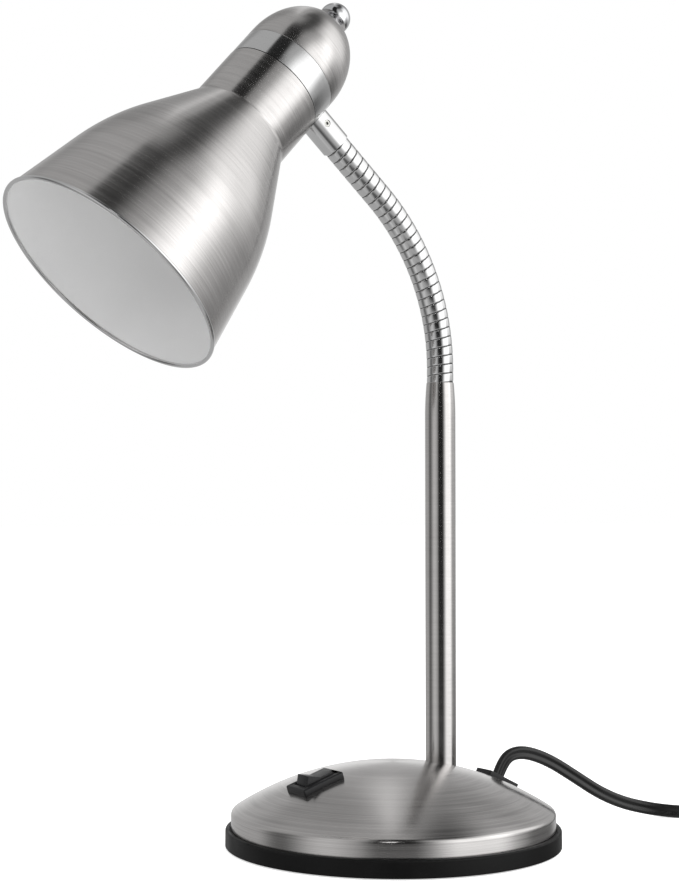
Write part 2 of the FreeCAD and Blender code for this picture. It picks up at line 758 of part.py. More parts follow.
def finial_ball():
    """Ball knob with a flat under it, on a small collar, screwed on the stud."""
    centre = FINIAL_SEAT - FINIAL_FLAT
    ball = Part.makeSphere(FINIAL_R, vec(0, 0, centre))
    ball = ball.cut(rod(FINIAL_R + CUT, FINIAL_SEAT, FINIAL_SEAT + 2 * FINIAL_R))
    collar = rod(FINIAL_COLLAR_R, centre, CAP_TOP - SEAM)
    knob = ball.fuse(collar).removeSplitter()
    return knob.cut(rod(STUD_R + RUNNING_GAP, centre, CAP_TOP))


def finial_stud():
    """Rod from the bracket's boss to the finial."""
    return rod(STUD_R, FINIAL_SEAT - STUD_BITE, -SEAM)


def socket_bracket():
    """Disc that closes the band in front. The stud pulls it against the band's ledge."""
    top = BRACKET_BASE + BRACKET_THICK
    disc = rod(SPIGOT_BORE_R - STUB_GAP, BRACKET_BASE, top)
    boss = rod(STUD_R + BRACKET_BOSS_WALL, -SEAM - BRACKET_BOSS, BRACKET_BASE)
    disc = disc.fuse(boss).removeSplitter()
    disc = disc.cut(rod(STUD_R + RUNNING_GAP, -SEAM - BRACKET_BOSS, 0))
    for x in socket_screw_places():
        disc = disc.cut(rod(SOCKET_SCREW_R + HOLE_GAP, BRACKET_BASE, top, x, 0))
    return disc.cut(rod(LEAD_R + BRACKET_LEAD_GAP, BRACKET_BASE, top, 0, -SOCKET_SCREW_RING_R))


def socket_screw_places():
    return (-SOCKET_SCREW_RING_R, SOCKET_SCREW_RING_R)


def socket_body():
    """Insulating body of the lamp holder with the well for the shell."""
    foot = SOCKET_FOOT
    mouth = foot + SOCKET_LENGTH
    well_r = SHELL_BORE_R + SHELL_WALL + SHELL_GAP
    body = turned([(0, foot), (SOCKET_R - SOCKET_FOOT_EDGE, foot), (SOCKET_R, foot + SOCKET_FOOT_EDGE),
                   (SOCKET_R, mouth - SOCKET_LIP_EDGE), (SOCKET_R - SOCKET_LIP_EDGE, mouth), (well_r, mouth),
                   (well_r, foot + SOCKET_BASE), (0, foot + SOCKET_BASE)])
    screw_hole = SOCKET_SCREW_REACH + SOCKET_SCREW_END_GAP
    for x in socket_screw_places():
        body = body.cut(rod(SOCKET_SCREW_R + HOLE_GAP, foot, foot + screw_hole, x, 0))
    body = body.cut(rod(CONTACT_R + SHELL_GAP, CONTACT_SEAT - SHELL_GAP, foot + SOCKET_BASE))
    lead_hole = SOCKET_LEAD_REACH + SPLICE_GAP
    return body.cut(rod(LEAD_R + SOCKET_LEAD_GAP, foot, foot + lead_hole, 0, -SOCKET_SCREW_RING_R))


def socket_shell():
    """Screw shell of the lamp holder, seated on the floor of the well."""
    wall_r = SHELL_BORE_R + SHELL_WALL
    rim_r = SHELL_BORE_R - SHELL_FLOOR_RIM
    top = SHELL_FLOOR + SHELL_LENGTH
    return turned([(rim_r, SHELL_FLOOR), (wall_r, SHELL_FLOOR), (wall_r, top), (SHELL_BORE_R, top),
                   (SHELL_BORE_R, SHELL_FLOOR + SHELL_WALL), (rim_r, SHELL_FLOOR + SHELL_WALL)])


def socket_contact():
    """Centre contact in a well of the body, just below the floor of the shell."""
    return turned([(0, CONTACT_SEAT), (CONTACT_R, CONTACT_SEAT), (CONTACT_R, CONTACT_SEAT + CONTACT_EDGE),
                   (CONTACT_R - CONTACT_TAPER, CONTACT_TOP), (0, CONTACT_TOP)])


def socket_screws():
    """Two pan-head screws from behind the bracket into the socket."""
    screws = []
    head_top = BRACKET_THICK
    for x in socket_screw_places():
        head = rod(SOCKET_SCREW_HEAD_R, head_top - SOCKET_SCREW_HEAD, head_top, x, 0)
        shank = rod(SOCKET_SCREW_R, head_top, SOCKET_FOOT + SOCKET_SCREW_REACH, x, 0)
        screws.append(head.fuse(shank).removeSplitter())
    return Part.makeCompound(screws)


def ferrule_axis(start, end, radius):
    """Cylinder on the ferrule's axis between two distances from the head's axis."""
    return Part.makeCylinder(radius, end - start, vec(0, -start, -FERRULE_BEHIND), vec(0, -1, 0))


def neck_ferrule():
    """Tube that takes the gooseneck's end, saddled on the band, with a threaded spigot through it."""
    spigot_end = BAND_BORE_R - FERRULE_NUT - FERRULE_SPIGOT_PAST
    body = ferrule_axis(spigot_end, FERRULE_END - STUB_GAP, FERRULE_R)
    saddle = rod(BAND_R + FERRULE_SADDLE_GAP, -FERRULE_BEHIND - 2 * FERRULE_R, -FERRULE_BEHIND + 2 * FERRULE_R)
    body = body.cut(saddle).fuse(ferrule_axis(spigot_end, SLEEVE_R + FERRULE_STEP, FERRULE_SPIGOT_R))
    body = body.removeSplitter()
    body = body.cut(ferrule_axis(SLEEVE_R + FERRULE_STEP, FERRULE_END, STUB_R + STUB_GAP))
    body = body.cut(ferrule_axis(spigot_end, FERRULE_END, FERRULE_BORE_R))
    return body.cut(set_screw_blank(HOLE_GAP, FERRULE_R))


def set_screw_blank(gap, end):
    """Grub screw across the ferrule's wall, pressing on the gooseneck's end, or the hole that takes it."""
    start = STUB_R + SET_SCREW_TOUCH - gap
    return rod_along_x(SET_SCREW_R + gap, start, end, -(SLEEVE_R + SET_SCREW_FROM_SADDLE), -FERRULE_BEHIND)


def ferrule_set_screw():
    """Grub screw sunk a little below the ferrule's round side, with its key socket."""
    screw = set_screw_blank(0, FERRULE_R)
    skin = ferrule_axis(0, FERRULE_END, FERRULE_R - SET_SCREW_SUNK)
    socket = rod_along_x(SET_SCREW_SOCKET_R, FERRULE_R - SET_SCREW_SUNK - SET_SCREW_SOCKET, FERRULE_R,
                         -(SLEEVE_R + SET_SCREW_FROM_SADDLE), -FERRULE_BEHIND)
    return screw.common(skin).cut(socket)


def ferrule_lock_nut():
    """Hexagon nut on the spigot, inside the band."""
    corner = FERRULE_NUT_FLATS / math.sqrt(3)
    seat = math.sqrt(BAND_BORE_R ** 2 - corner ** 2) - SEAM
    nut = hexagon(FERRULE_NUT_FLATS, 0, FERRULE_NUT).cut(rod(FERRULE_SPIGOT_R + RUNNING_GAP, 0, FERRULE_NUT))
    turn = FreeCAD.Rotation(vec(1, 0, 0), -90)
    return placed(nut, FreeCAD.Placement(vec(0, -seat, -FERRULE_BEHIND), turn))


def head_lead():
    """Lead from the ferrule round to the back of the socket."""
    start = SLEEVE_R + FERRULE_STEP - NECK_END_GAP
    corner = SOCKET_SCREW_RING_R + LEAD_SIDE_STEP
    points = [(0, -start, -FERRULE_BEHIND), (0, -corner, -FERRULE_BEHIND), (0, -SOCKET_SCREW_RING_R, 0),
              (0, -SOCKET_SCREW_RING_R, SOCKET_FOOT + SOCKET_LEAD_REACH)]
    return bent_tube(points, LEAD_R, LEAD_BEND_R)


# Switch, drawn with the dome's surface at z = 0

def terminal_places():
    return (0, -TERMINAL_SPREAD)


def switch_housing():
    """Bezel on the dome and the box below it, open for the rocker."""
    under = -dome_drop(BEZEL_WIDE, BEZEL_LONG) - CUT
    flange = rounded_block(BEZEL_WIDE, BEZEL_LONG, under, BEZEL_TOP, BEZEL_CORNER_R)
    flange = flange.makeChamfer(BEZEL_CHAMFER, [edge for edge in flange.Edges if edge.BoundBox.ZMin > BEZEL_TOP - 0.01])
    housing = seated_on_dome(flange).fuse(block(HOUSING_WIDE, HOUSING_LONG, -HOUSING_DEEP, BEZEL_TOP / 2))
    housing = housing.removeSplitter()
    well = block(ROCKER_WIDE + 2 * ROCKER_GAP, ROCKER_LONG + 2 * ROCKER_GAP, -HOUSING_DEEP + HOUSING_FLOOR,
                 BEZEL_TOP + CUT)
    housing = housing.cut(well)
    half_span = TRUNNION_SPAN / 2
    housing = housing.cut(rod_along_x(TRUNNION_R + RUNNING_GAP, -half_span, half_span, 0, PIVOT_HEIGHT))
    for y in terminal_places():
        slot = block(TERMINAL_WIDE + 2 * TERMINAL_GAP, TERMINAL_THICK + 2 * TERMINAL_GAP, -HOUSING_DEEP,
                     -HOUSING_DEEP + HOUSING_FLOOR, 0, y)
        housing = housing.cut(slot)
    return placed(housing, on_dome(SWITCH_Y))


def rocker_outline():
    """Side view of the rocker, with its pivot at the origin and its two pads level on either side."""
    half = ROCKER_LONG / 2
    slope = math.tan(math.radians(ROCKER_TILT))
    end_height = (ROCKER_CREST + half * slope) / (1 + slope ** 2)
    end_y = half - end_height * slope
    keel = -ROCKER_DEEP - ROCKER_KEEL
    right = [(end_y, end_height), (half, 0), (half, -ROCKER_DEEP),
             (ROCKER_KEEL_HALF + ROCKER_KEEL_RUN, -ROCKER_DEEP), (ROCKER_KEEL_HALF, keel)]
    left = [(-y, z) for y, z in reversed(right)]
    return [(0, ROCKER_CREST)] + right + left


def rocker_shape():
    """Rocker with its pins and the pocket for the spring, about the pivot at the origin."""
    points = [vec(-ROCKER_WIDE / 2, y, z) for y, z in rocker_outline()]
    body = Part.Face(Part.makePolygon(points + points[:1])).extrude(vec(ROCKER_WIDE, 0, 0))
    half_span = TRUNNION_SPAN / 2 - TRUNNION_END_GAP
    body = body.fuse(rod_along_x(TRUNNION_R, -half_span, half_span, 0, 0)).removeSplitter()
    return body.cut(rod(PLUNGER_R + SPRING_GAP, -ROCKER_DEEP - ROCKER_KEEL, ROCKER_CREST - ROCKER_ROOF))


def rocker_placement():
    rest = FreeCAD.Placement(vec(0, 0, PIVOT_HEIGHT), FreeCAD.Rotation(vec(1, 0, 0), -ROCKER_TILT))
    return on_dome(SWITCH_Y).multiply(rest)


def switch_rocker():
    return placed(rocker_shape(), rocker_placement())


def plunger_top():
    return PLUNGER_LENGTH - PLUNGER_REACH


def rocker_plunger():
    """Rounded pin pushed down by the spring inside the rocker."""
    tip = PLUNGER_R - PLUNGER_REACH
    pin = rod(PLUNGER_R, tip, plunger_top()).fuse(Part.makeSphere(PLUNGER_R, vec(0, 0, tip))).removeSplitter()
    return placed(pin, rocker_placement())


def plunger_spring():
    """Small compression spring above the plunger, as a closed sleeve."""
    spring = tube(PLUNGER_R, PLUNGER_R - SPRING_WIRE, plunger_top() + SPRING_GAP,
                  ROCKER_CREST - ROCKER_ROOF - SPRING_GAP)
    return placed(spring, rocker_placement())


def contact_lever():
    """Rocking contact strip on the middle terminal, with a button under its front end."""
    strip = block(LEVER_WIDE, LEVER_LONG, 0, LEVER_THICK)
    button = rod(BUTTON_R, -BUTTON_RISE, LEVER_THICK, 0, BUTTON_INSET - LEVER_LONG / 2)
    strip = strip.fuse(button).removeSplitter()
    rest = FreeCAD.Placement(vec(0, 0, LEVER_PIVOT_HEIGHT), FreeCAD.Rotation(vec(1, 0, 0), LEVER_TILT))
    return placed(placed(strip, rest), on_dome(SWITCH_Y))


def fixed_contact_top():
    """Just under the lowest point of the lever's button at rest."""
    tilt = math.radians(LEVER_TILT)
    button_far = LEVER_LONG / 2 - BUTTON_INSET + BUTTON_R
    return LEVER_PIVOT_HEIGHT - button_far * math.sin(tilt) - BUTTON_RISE * math.cos(tilt) - LEVER_GAP


def switch_terminals():
    """Middle terminal under the lever, and the fixed contact under its front end."""
    bottom = -HOUSING_DEEP - TERMINAL_TAIL
    middle = block(TERMINAL_WIDE, TERMINAL_THICK, bottom, LEVER_PIVOT_HEIGHT - LEVER_GAP)
    top = fixed_contact_top()
    front = block(TERMINAL_WIDE, TERMINAL_THICK, bottom, top, 0, -TERMINAL_SPREAD)
    shelf_y = -TERMINAL_SPREAD + (CONTACT_SHELF - TERMINAL_THICK) / 2
    shelf = block(TERMINAL_WIDE, CONTACT_SHELF, top - TERMINAL_THICK, top, 0, shelf_y)
    front = front.fuse(shelf).removeSplitter()
    return placed(Part.makeCompound([middle, front]), on_dome(SWITCH_Y))


# Leads and connectors in the base

def splice_caps():
    caps = []
    for sign in (-0.5, 0.5):
        start = vec(CONNECTOR_X, POLE_Y + sign * CONNECTOR_SPACING, CONNECTOR_Z)
        caps.append(Part.makeCone(CONNECTOR_R, CONNECTOR_TIP_R, CONNECTOR_LONG, start, vec(-1, 0, 0)))
    return Part.makeCompound(caps)


def pole_lead():
    """Lead from the connectors through the pole's side hole and up to the gooseneck."""
    side = pole_lead_height()
    top = POLE_SHOULDER - TOP_BUSH - LEAD_GAP
    points = [(CONNECTOR_MOUTH, POLE_Y, CONNECTOR_Z), (CONNECTOR_MOUTH + 5, POLE_Y, CONNECTOR_Z),
              (CONNECTOR_MOUTH + 9, POLE_Y, side), (0, POLE_Y, side), (0, POLE_Y, top)]
    return bent_tube(points, LEAD_R, POLE_LEAD_BEND_R)


def inner_cord():
    """Cord from the bushing to the rear connector."""
    inside = on_dome(BUSHING_Y).multVec(vec(0, 0, -bushing_depth() - SPLICE_GAP))
    below = on_dome(BUSHING_Y).multVec(vec(0, 0, -bushing_depth() - 2.5))
    y = POLE_Y + CONNECTOR_SPACING / 2 + LEAD_SIDE_STEP
    points = [tuple(inside), tuple(below), (-8, y + 10, CONNECTOR_Z), (CONNECTOR_MOUTH + 4, y, CONNECTOR_Z),
              (CONNECTOR_MOUTH, y, CONNECTOR_Z)]
    return bent_tube(points, INNER_CORD_R, LEAD_BEND_R)


def switch_leads():
    """Two leads from the switch terminals to the front connector."""
    frame = on_dome(SWITCH_Y)
    y = POLE_Y - CONNECTOR_SPACING / 2 - LEAD_SIDE_STEP
    leads = []
    for i, offset in enumerate(terminal_places()):
        start = frame.multVec(vec(-TERMINAL_WIDE / 2 - SPLICE_GAP, offset, -HOUSING_DEEP - TERMINAL_TAIL / 2))
        side_x = -HOUSING_WIDE / 2 - SWITCH_LEAD_SIDE - SWITCH_LEAD_STEP * i
        lift = CONNECTOR_Z + SWITCH_LEAD_LIFT * i
        points = [tuple(start), (start.x - 1, start.y, start.z), (side_x, start.y + 12, lift), (side_x, y - 6, lift),
                  (CONNECTOR_MOUTH + 3, y, lift), (CONNECTOR_MOUTH, y, lift)]
        leads.append(bent_tube(points, SWITCH_LEAD_R, LEAD_BEND_R))
    return Part.makeCompound(leads)


# Mains cord

def cord_bushing():
    """Rectangular flange on the dome with a neck through it, round the cord."""
    under = -dome_drop(BUSHING_WIDE, BUSHING_LONG) - CUT
    flange = rounded_block(BUSHING_WIDE, BUSHING_LONG, under, BUSHING_TOP, BUSHING_CORNER_R)
    neck = block(BUSHING_NECK_WIDE, BUSHING_NECK_LONG, -bushing_depth(), BUSHING_TOP / 2)
    return placed(seated_on_dome(flange).fuse(neck).removeSplitter(), on_dome(BUSHING_Y))


def coil_start():
    """Where the free stretch ends: one diameter before the coil's outer turn."""
    return vec(COIL_X - 2 * CORD_R, COIL_Y - COIL_R, CORD_AXIS_Z)


def cord_points():
    """Route of the free stretch: square out of the bushing, down to the table and on to the coil."""
    points = [on_dome(BUSHING_Y).multVec(vec(0, 0, BUSHING_TOP + lift)) for lift in (0, CORD_RISE)]
    points += [vec(*p) for p in CORD_BENDS]
    points += [vec(x, y, CORD_AXIS_Z) for x, y in CORD_TABLE_BENDS]
    return points + [coil_start()]


def cord_lead():
    return swept(bent_path(cord_points()), CORD_R)


def ease(start, span, t):
    """Smooth step from 0 to 1 that begins at start and takes span."""
    share = min(max((t - start) / span, 0), 1)
    return share ** 2 * (3 - 2 * share)


def coil_position(turns):
    """Point on the coil's centreline: in on the lower layer, out on the upper, then out to the plug."""
    middle = COIL_TURNS / 2
    layer = 2 * CORD_R + COIL_LAYER_GAP
    out_to_plug = PLUG_WIDE / 2 + CORD_R + COIL_LAYER_GAP
    radius = COIL_R - COIL_STEP * max(middle - abs(turns - middle), 0)
    radius += out_to_plug * ease(COIL_TURNS, 0.5, turns)
    height = CORD_AXIS_Z + layer * ease(middle - 0.25, 0.5, turns)
    height += (PLUG_AXIS_Z - CORD_AXIS_Z - layer) * ease(COIL_TURNS, 0.5, turns)
    angle = 2 * math.pi * turns - math.pi / 2
    return vec(COIL_X + radius * math.cos(angle), COIL_Y + radius * math.sin(angle), height)


def coil_heading(turns):
    nudge = 1e-4
    return (coil_position(turns + nudge) - coil_position(turns - nudge)).normalize()


def arc_middle(start, way, end):
    """Middle of the arc that leaves start along a heading and reaches end."""
    chord = end - start
    half_turn = way.getAngle(chord)
    radius = chord.Length / (2 * math.sin(half_turn))
    side = (chord - way * chord.dot(way)).normalize()
    return start + way * (radius * math.sin(half_turn)) + side * (radius * (1 - math.cos(half_turn)))


def biarc(start, start_way, end, end_way):
    """Two arcs that leave start and reach end along the given headings."""
    chord = end - start
    along = chord.dot(start_way + end_way)
    spread = 2 * (1 - start_way.dot(end_way))
    reach = (-along + math.sqrt(along ** 2 + spread * chord.dot(chord))) / spread
    joint = (start + end + (start_way - end_way) * reach) * 0.5
    first = Part.Arc(start, arc_middle(start, start_way, joint), joint)
    second = Part.Arc(joint, arc_middle(end, end_way * -1, joint), end)
    return [first.toShape(), second.toShape()]


def coil_path():
    """Centreline of the coil: a straight lead-in, piled turns as biarcs, and a straight end at the plug."""
    quarters = 4 * COIL_TURNS + 2
    points = [coil_position(i / 4) for i in range(quarters + 1)]
    ways = [coil_heading(i / 4) for i in range(quarters + 1)]
    ways[0] = vec(1, 0, 0)
    ways[-1] = vec(-1, 0, 0)
    edges = [Part.LineSegment(coil_start(), points[0]).toShape()]
    for i in range(quarters):
        edges += biarc(points[i], ways[i], points[i + 1], ways[i + 1])
    edges.append(Part.LineSegment(points[-1], coil_end()).toShape())
    return Part.Wire(edges)


def coil_end():
    return coil_position(COIL_TURNS + 0.5) + vec(-2 * CORD_R, 0, 0)


def coil_gap(path):
    """Least gap of the coiled cord to itself, between points more than half a turn apart."""
    spacing = 3.0
    points = path.discretize(Distance=spacing)
    skip = int(math.pi * COIL_R / spacing)
    least = min((a - b).Length for i, a in enumerate(points) for b in points[i + skip:])
    return least - 2 * CORD_R


def cord_coil():
    return swept(coil_path(), CORD_R)


def plug_placement():
    """Z runs from the cord to the blades."""
    return FreeCAD.Placement(coil_end(), FreeCAD.Rotation(vec(0, 1, 0), -90))


def plug_body():
    """Flat two-blade plug: a tapered nose round the cord and a square body."""
    mouth = 2 * (CORD_R + PLUG_NOSE_WALL)
    nose = Part.makeLoft([rectangle(mouth, mouth, 0), rectangle(PLUG_HIGH, PLUG_WIDE, PLUG_NOSE)], True, True)
    body = block(PLUG_HIGH, PLUG_WIDE, PLUG_NOSE, PLUG_LONG)
    return placed(nose.fuse(body).removeSplitter(), plug_placement())


def plug_blades():
    blades = []
    for sign in (-0.5, 0.5):
        blades.append(block(BLADE_HIGH, BLADE_THICK, PLUG_LONG, PLUG_LONG + BLADE_LONG, 0, sign * BLADE_SPACING))
    return placed(Part.makeCompound(blades), plug_placement())


FIXED_PARTS = {
    "base_tray": base_tray,
    "base_pad": base_pad,
    "base_cover": base_cover,
    "ballast_weight": ballast_weight,
    "tray_screws": tray_screws,
    "foot_bolt": foot_bolt,
    "foot_washer": foot_washer,
    "pole_foot_plug": pole_foot_plug,
    "pole_tube": pole_tube,
    "pole_top_bush": top_bush,
    "pole_lead": pole_lead,
    "splice_caps": splice_caps,
    "inner_cord": inner_cord,
    "switch_leads": switch_leads,
    "switch_housing": switch_housing,
    "switch_rocker": switch_rocker,
    "rocker_plunger": rocker_plunger,
    "plunger_spring": plunger_spring,
    "contact_lever": contact_lever,
    "switch_terminals": switch_terminals,
    "cord_bushing": cord_bushing,
    "cord_lead": cord_lead,
    "cord_coil": cord_coil,
    "plug_body": plug_body,
    "plug_blades": plug_blades,
}

HEAD_PARTS = {
    "neck_ferrule": neck_ferrule,
    "ferrule_set_screw": ferrule_set_screw,
    "ferrule_lock_nut": ferrule_lock_nut,
    "polished_band": polished_band,
    "cap_dome": cap_dome,
    "finial_ball": finial_ball,
    "finial_stud": finial_stud,
    "shade": shade,
    "socket_bracket": socket_bracket,
    "socket_body": socket_body,
    "socket_shell": socket_shell,
    "socket_contact": socket_contact,
    "socket_screws": socket_screws,
    "head_lead": head_lead,
}


def build():
    os.makedirs("parts", exist_ok=True)
    for name, make in FIXED_PARTS.items():
        save(make(), name)
    for i in range(LINK_COUNT):
        save(gooseneck_link(i), "gooseneck_link_%02d" % (i + 1))
        save(neck_lead(i), "neck_lead_%02d" % (i + 1))
    for name, make in HEAD_PARTS.items():
        save(placed(make(), head_placement()), name)
    report_cord()


def report_cord():
    points = cord_points()
    path = bent_path(points)
    coil = coil_path()
    section = math.pi * CORD_R ** 2
    print("cord radii", [round(r, 1) for r in bend_radii(points)])
    print("cord runs", [round((b - a).Length, 1) for a, b in zip(points, points[1:])])
    print("cord volume over section times length", round(cord_lead().Volume / (section * path.Length), 4))
    print("coil volume over section times length", round(cord_coil().Volume / (section * coil.Length), 4))
    print("coil least gap to itself", round(coil_gap(coil), 2))
    print("cord length with coil", round(path.Length + coil.Length, 1))


build()
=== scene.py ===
import bpy
import bmesh
import math
from mathutils import Matrix, Vector


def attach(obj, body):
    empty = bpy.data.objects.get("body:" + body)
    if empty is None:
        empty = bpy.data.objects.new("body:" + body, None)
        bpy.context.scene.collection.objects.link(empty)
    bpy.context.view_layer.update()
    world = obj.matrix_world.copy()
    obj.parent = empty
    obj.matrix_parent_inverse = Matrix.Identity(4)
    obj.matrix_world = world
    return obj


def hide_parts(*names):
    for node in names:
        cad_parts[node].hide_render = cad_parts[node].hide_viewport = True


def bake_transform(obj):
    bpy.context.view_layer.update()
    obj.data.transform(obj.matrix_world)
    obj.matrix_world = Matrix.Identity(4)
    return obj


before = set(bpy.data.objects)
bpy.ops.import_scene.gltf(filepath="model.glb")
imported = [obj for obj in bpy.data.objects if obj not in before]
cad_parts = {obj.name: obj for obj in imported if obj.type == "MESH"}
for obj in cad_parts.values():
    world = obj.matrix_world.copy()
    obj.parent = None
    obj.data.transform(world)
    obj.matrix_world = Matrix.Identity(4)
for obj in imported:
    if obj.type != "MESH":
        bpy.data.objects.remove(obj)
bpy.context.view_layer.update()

# Gooseneck desk lamp. The sizes below are millimetres, as in the frame; objects are made in metres.
MM = 0.001

# Camera, fitted to the photograph
PHOTO_WIDTH_PX = 679
FOCAL_PX = 1700
SENSOR_MM = 36
CAMERA_PLACE = (630.2, -437.9, 149.85)
CAMERA_AZIMUTH = 57
CAMERA_LOOKS_UP = 2.19

# Base
DOME_R = 133.0
DOME_TOP = 36.8
COVER_R = 72.5
COVER_WALL = 0.8
COVER_EDGE_R = 2.5
COVER_FOOT = 3.6
TRAY_R = 75.0
TRAY_TOP = 8.0
TRAY_BOTTOM = 0.6
TRAY_LIP = 72.8
TRAY_STEP = 4.4
TRAY_EDGE_R = 1.7

# Pole and gooseneck
POLE_Y = 26.6
POLE_R = 7.0
POLE_TOP_R = 6.3
POLE_TOP = 207.9
POLE_FOOT = 13.8
POLE_CRIMP = 16.0
POLE_RIM = 0.35
NECK_LINKS = 10
LINK_PITCH = 12.38
BENT_JOINTS = 7
HEAD_PITCH = 48.2
RIB_R = 6.1
RIB_PITCH = LINK_PITCH / 3
RIB_CROWN = 0.05
RIB_GROOVE = 0.42
RIB_GROOVE_POWER = 14
RIB_STEPS = 18
NECK_SIDES = 72

# Head, along its axis from the back edge of the shade's sleeve
FERRULE_LENGTH = 14.8
FERRULE_BEHIND = 7.1
SLEEVE_R = 23.4
SLEEVE_LENGTH = 25.6
SHADE_LENGTH = 116.5
MOUTH_R = 53.0
SHEET = 0.8
CONE_SLOPE = 27
SKIRT_SLOPE = 10
SHADE_BEND_R = 110
SLEEVE_CREASE_R = 5.0
RIM_BEAD_R = 0.9
BAND_R = 23.3
BAND_LENGTH = 11.8
CAP_STRAIGHT = 4.2
CAP_HEIGHT = 29.5
SEAM_ROUND = 0.3
SEAM_GAP = 0.3
SEAM_DEPTH = 1.0
FINIAL_R = 7.0
FINIAL_FLAT = 1.6
FINIAL_COLLAR = 2.0
FINIAL_COLLAR_R = 4.2

# Switch and cord bushing on the dome
SWITCH_Y = -41.0
HOUSING_SLOT = (13.1, 19.3)
BUSHING_Y = 58.5
BUSHING_SLOT = (8.3, 11.3)
BUSHING_TOP = 2.35

# Cord: the route's bends, the coil and the twin section
CORD_R = 3.1
CORD_LIFT = 0.05
CORD_RISE = 6.2
CORD_BENDS = [
    (0.8, 66.8, 35.2),
    (1.9, 75.2, 35.4),
    (3.6, 87.6, 30.8),
    (5.6, 101.4, 22.4),
    (7.6, 115.0, 13.8),
    (9.4, 127.6, 8.2),
    (12.2, 139.4, 4.9),
]
CORD_TABLE_BENDS = [
    (18.0, 149.2),
    (27.5, 156.6),
    (41.0, 160.6),
    (57.5, 160.0),
]
COIL_X = 81.0
COIL_Y = 206.0
COIL_R = 46.0
COIL_STEP = 6.9
COIL_TURNS = 7
COIL_LAYER_GAP = 0.5
COIL_POINTS_PER_TURN = 16
PLUG_HIGH = 14.0
PLUG_WIDE = 23.0
TWIN_R = 1.52
TWIN_SIDES = 14

# Studio
FLOOR_HALF_M = 12
TENT_R_M = 5
WORLD_FILL = 0.55
FLOOR_GLOW = 0.62
TENT_BASE = 0.5
# Panels of the reflected studio, added to its base: azimuth from the camera and half width, height and
# half height, soft edge (all degrees), strength
PANELS = [
    (0, 21, 33, 47, 10, -0.5),
    (65, 90, 69, 11, 9, -0.42),
    (-48, 12, -10, 50, 10, 0.2),
    (-86, 14, -5, 40, 12, -0.34),
    (60, 26, 12, 24, 12, 1.15),
    (20, 26, -52, 18, 10, -0.4),
    (100, 26, 32, 22, 12, 0.8),
    (125, 22, -30, 24, 10, -0.42),
    (178, 12, -5, 20, 8, 0.3),
    (180, 5, 56, 20, 5, 0.35),
    (157, 13, 46, 14, 8, -0.18),
    (-157, 13, 50, 16, 8, -0.16),
    (-172, 14, 6, 10, 8, 0.15),
    (-4, 4, 30, 4, 2, 4.0),
]
# Lights: name, azimuth from the camera and height (degrees), distance and side (metres), power (watts)
LIGHTS = [
    ("key", 55, 45, 1.6, 1.2, 14),
    ("fill", -60, 35, 1.8, 1.4, 6),
    ("top", 10, 85, 1.6, 1.6, 10),
]


# Mesh helpers

def mm(x, y, z):
    return Vector((x, y, z)) * MM


def finish_piece(obj, body, nodes=()):
    """Ride a piece on its body and let it stand for its CAD nodes."""
    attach(obj, body)
    if nodes:
        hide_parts(*nodes)
    return obj


def new_object(name, mesh, materials):
    obj = bpy.data.objects.new(name, mesh)
    bpy.context.scene.collection.objects.link(obj)
    for material in materials:
        mesh.materials.append(material)
    return obj


def shade_smooth(mesh, angle=35):
    """Smooth faces, with creases where faces meet at more than the angle in degrees."""
    mesh.shade_smooth()
    mesh.set_sharp_from_angle(angle=math.radians(angle))


def rounded(corners, steps=10):
    """Profile through corners (r, z, fillet radius), with each corner rounded by a tangent arc."""
    points = []
    last = len(corners) - 1
    for i, (r, z, fillet) in enumerate(corners):
        here = Vector((r, z))
        if fillet <= 0 or i in (0, last):
            points.append(here)
            continue
        into = (here - Vector(corners[i - 1][:2])).normalized()
        out = (Vector(corners[i + 1][:2]) - here).normalized()
        half_turn = into.angle(out) / 2
        setback = fillet * math.tan(half_turn)
        centre = here + (out - into).normalized() * (fillet / math.cos(half_turn))
        start = here - into * setback - centre
        turn = start.angle_signed(here + out * setback - centre)
        for k in range(steps + 1):
            points.append(centre + Matrix.Rotation(-turn * k / steps, 2) @ start)
    return points


def lathe(name, profile, place, materials, segments=256, material_of=None):
    """Solid of revolution about the local Z of place. A closed profile of (r, z) points in millimetres."""
    bm = bmesh.new()
    uv = bm.loops.layers.uv.new("UVMap")
    lengths = [0.0]
    for a, b in zip(profile, profile[1:]):
        lengths.append(lengths[-1] + math.dist(a, b))
    rings = []
    for r, z in profile:
        if abs(r) < 1e-6:
            rings.append([bm.verts.new(place @ mm(0, 0, z))] * segments)
            continue
        turns = [2 * math.pi * j / segments for j in range(segments)]
        rings.append([bm.verts.new(place @ mm(r * math.cos(t), r * math.sin(t), z)) for t in turns])
    for i in range(len(rings) - 1):
        for j in range(segments):
            k = (j + 1) % segments
            corners = [rings[i][j], rings[i][k], rings[i + 1][k], rings[i + 1][j]]
            us = [(j / segments, lengths[i]), ((j + 1) / segments, lengths[i]),
                  ((j + 1) / segments, lengths[i + 1]), (j / segments, lengths[i + 1])]
            kept = [(v, u) for n, (v, u) in enumerate(zip(corners, us)) if v not in corners[:n]]
            if len(kept) < 3:
                continue
            face = bm.faces.new([v for v, _ in kept])
            face.material_index = material_of(i) if material_of else 0
            for loop, (_, u) in zip(face.loops, kept):
                loop[uv].uv = u
    bmesh.ops.remove_doubles(bm, verts=bm.verts, dist=1e-7)
    bmesh.ops.recalc_face_normals(bm, faces=bm.faces)
    mesh = bpy.data.meshes.new(name)
    bm.to_mesh(mesh)
    bm.free()
    shade_smooth(mesh)
    return new_object(name, mesh, materials)


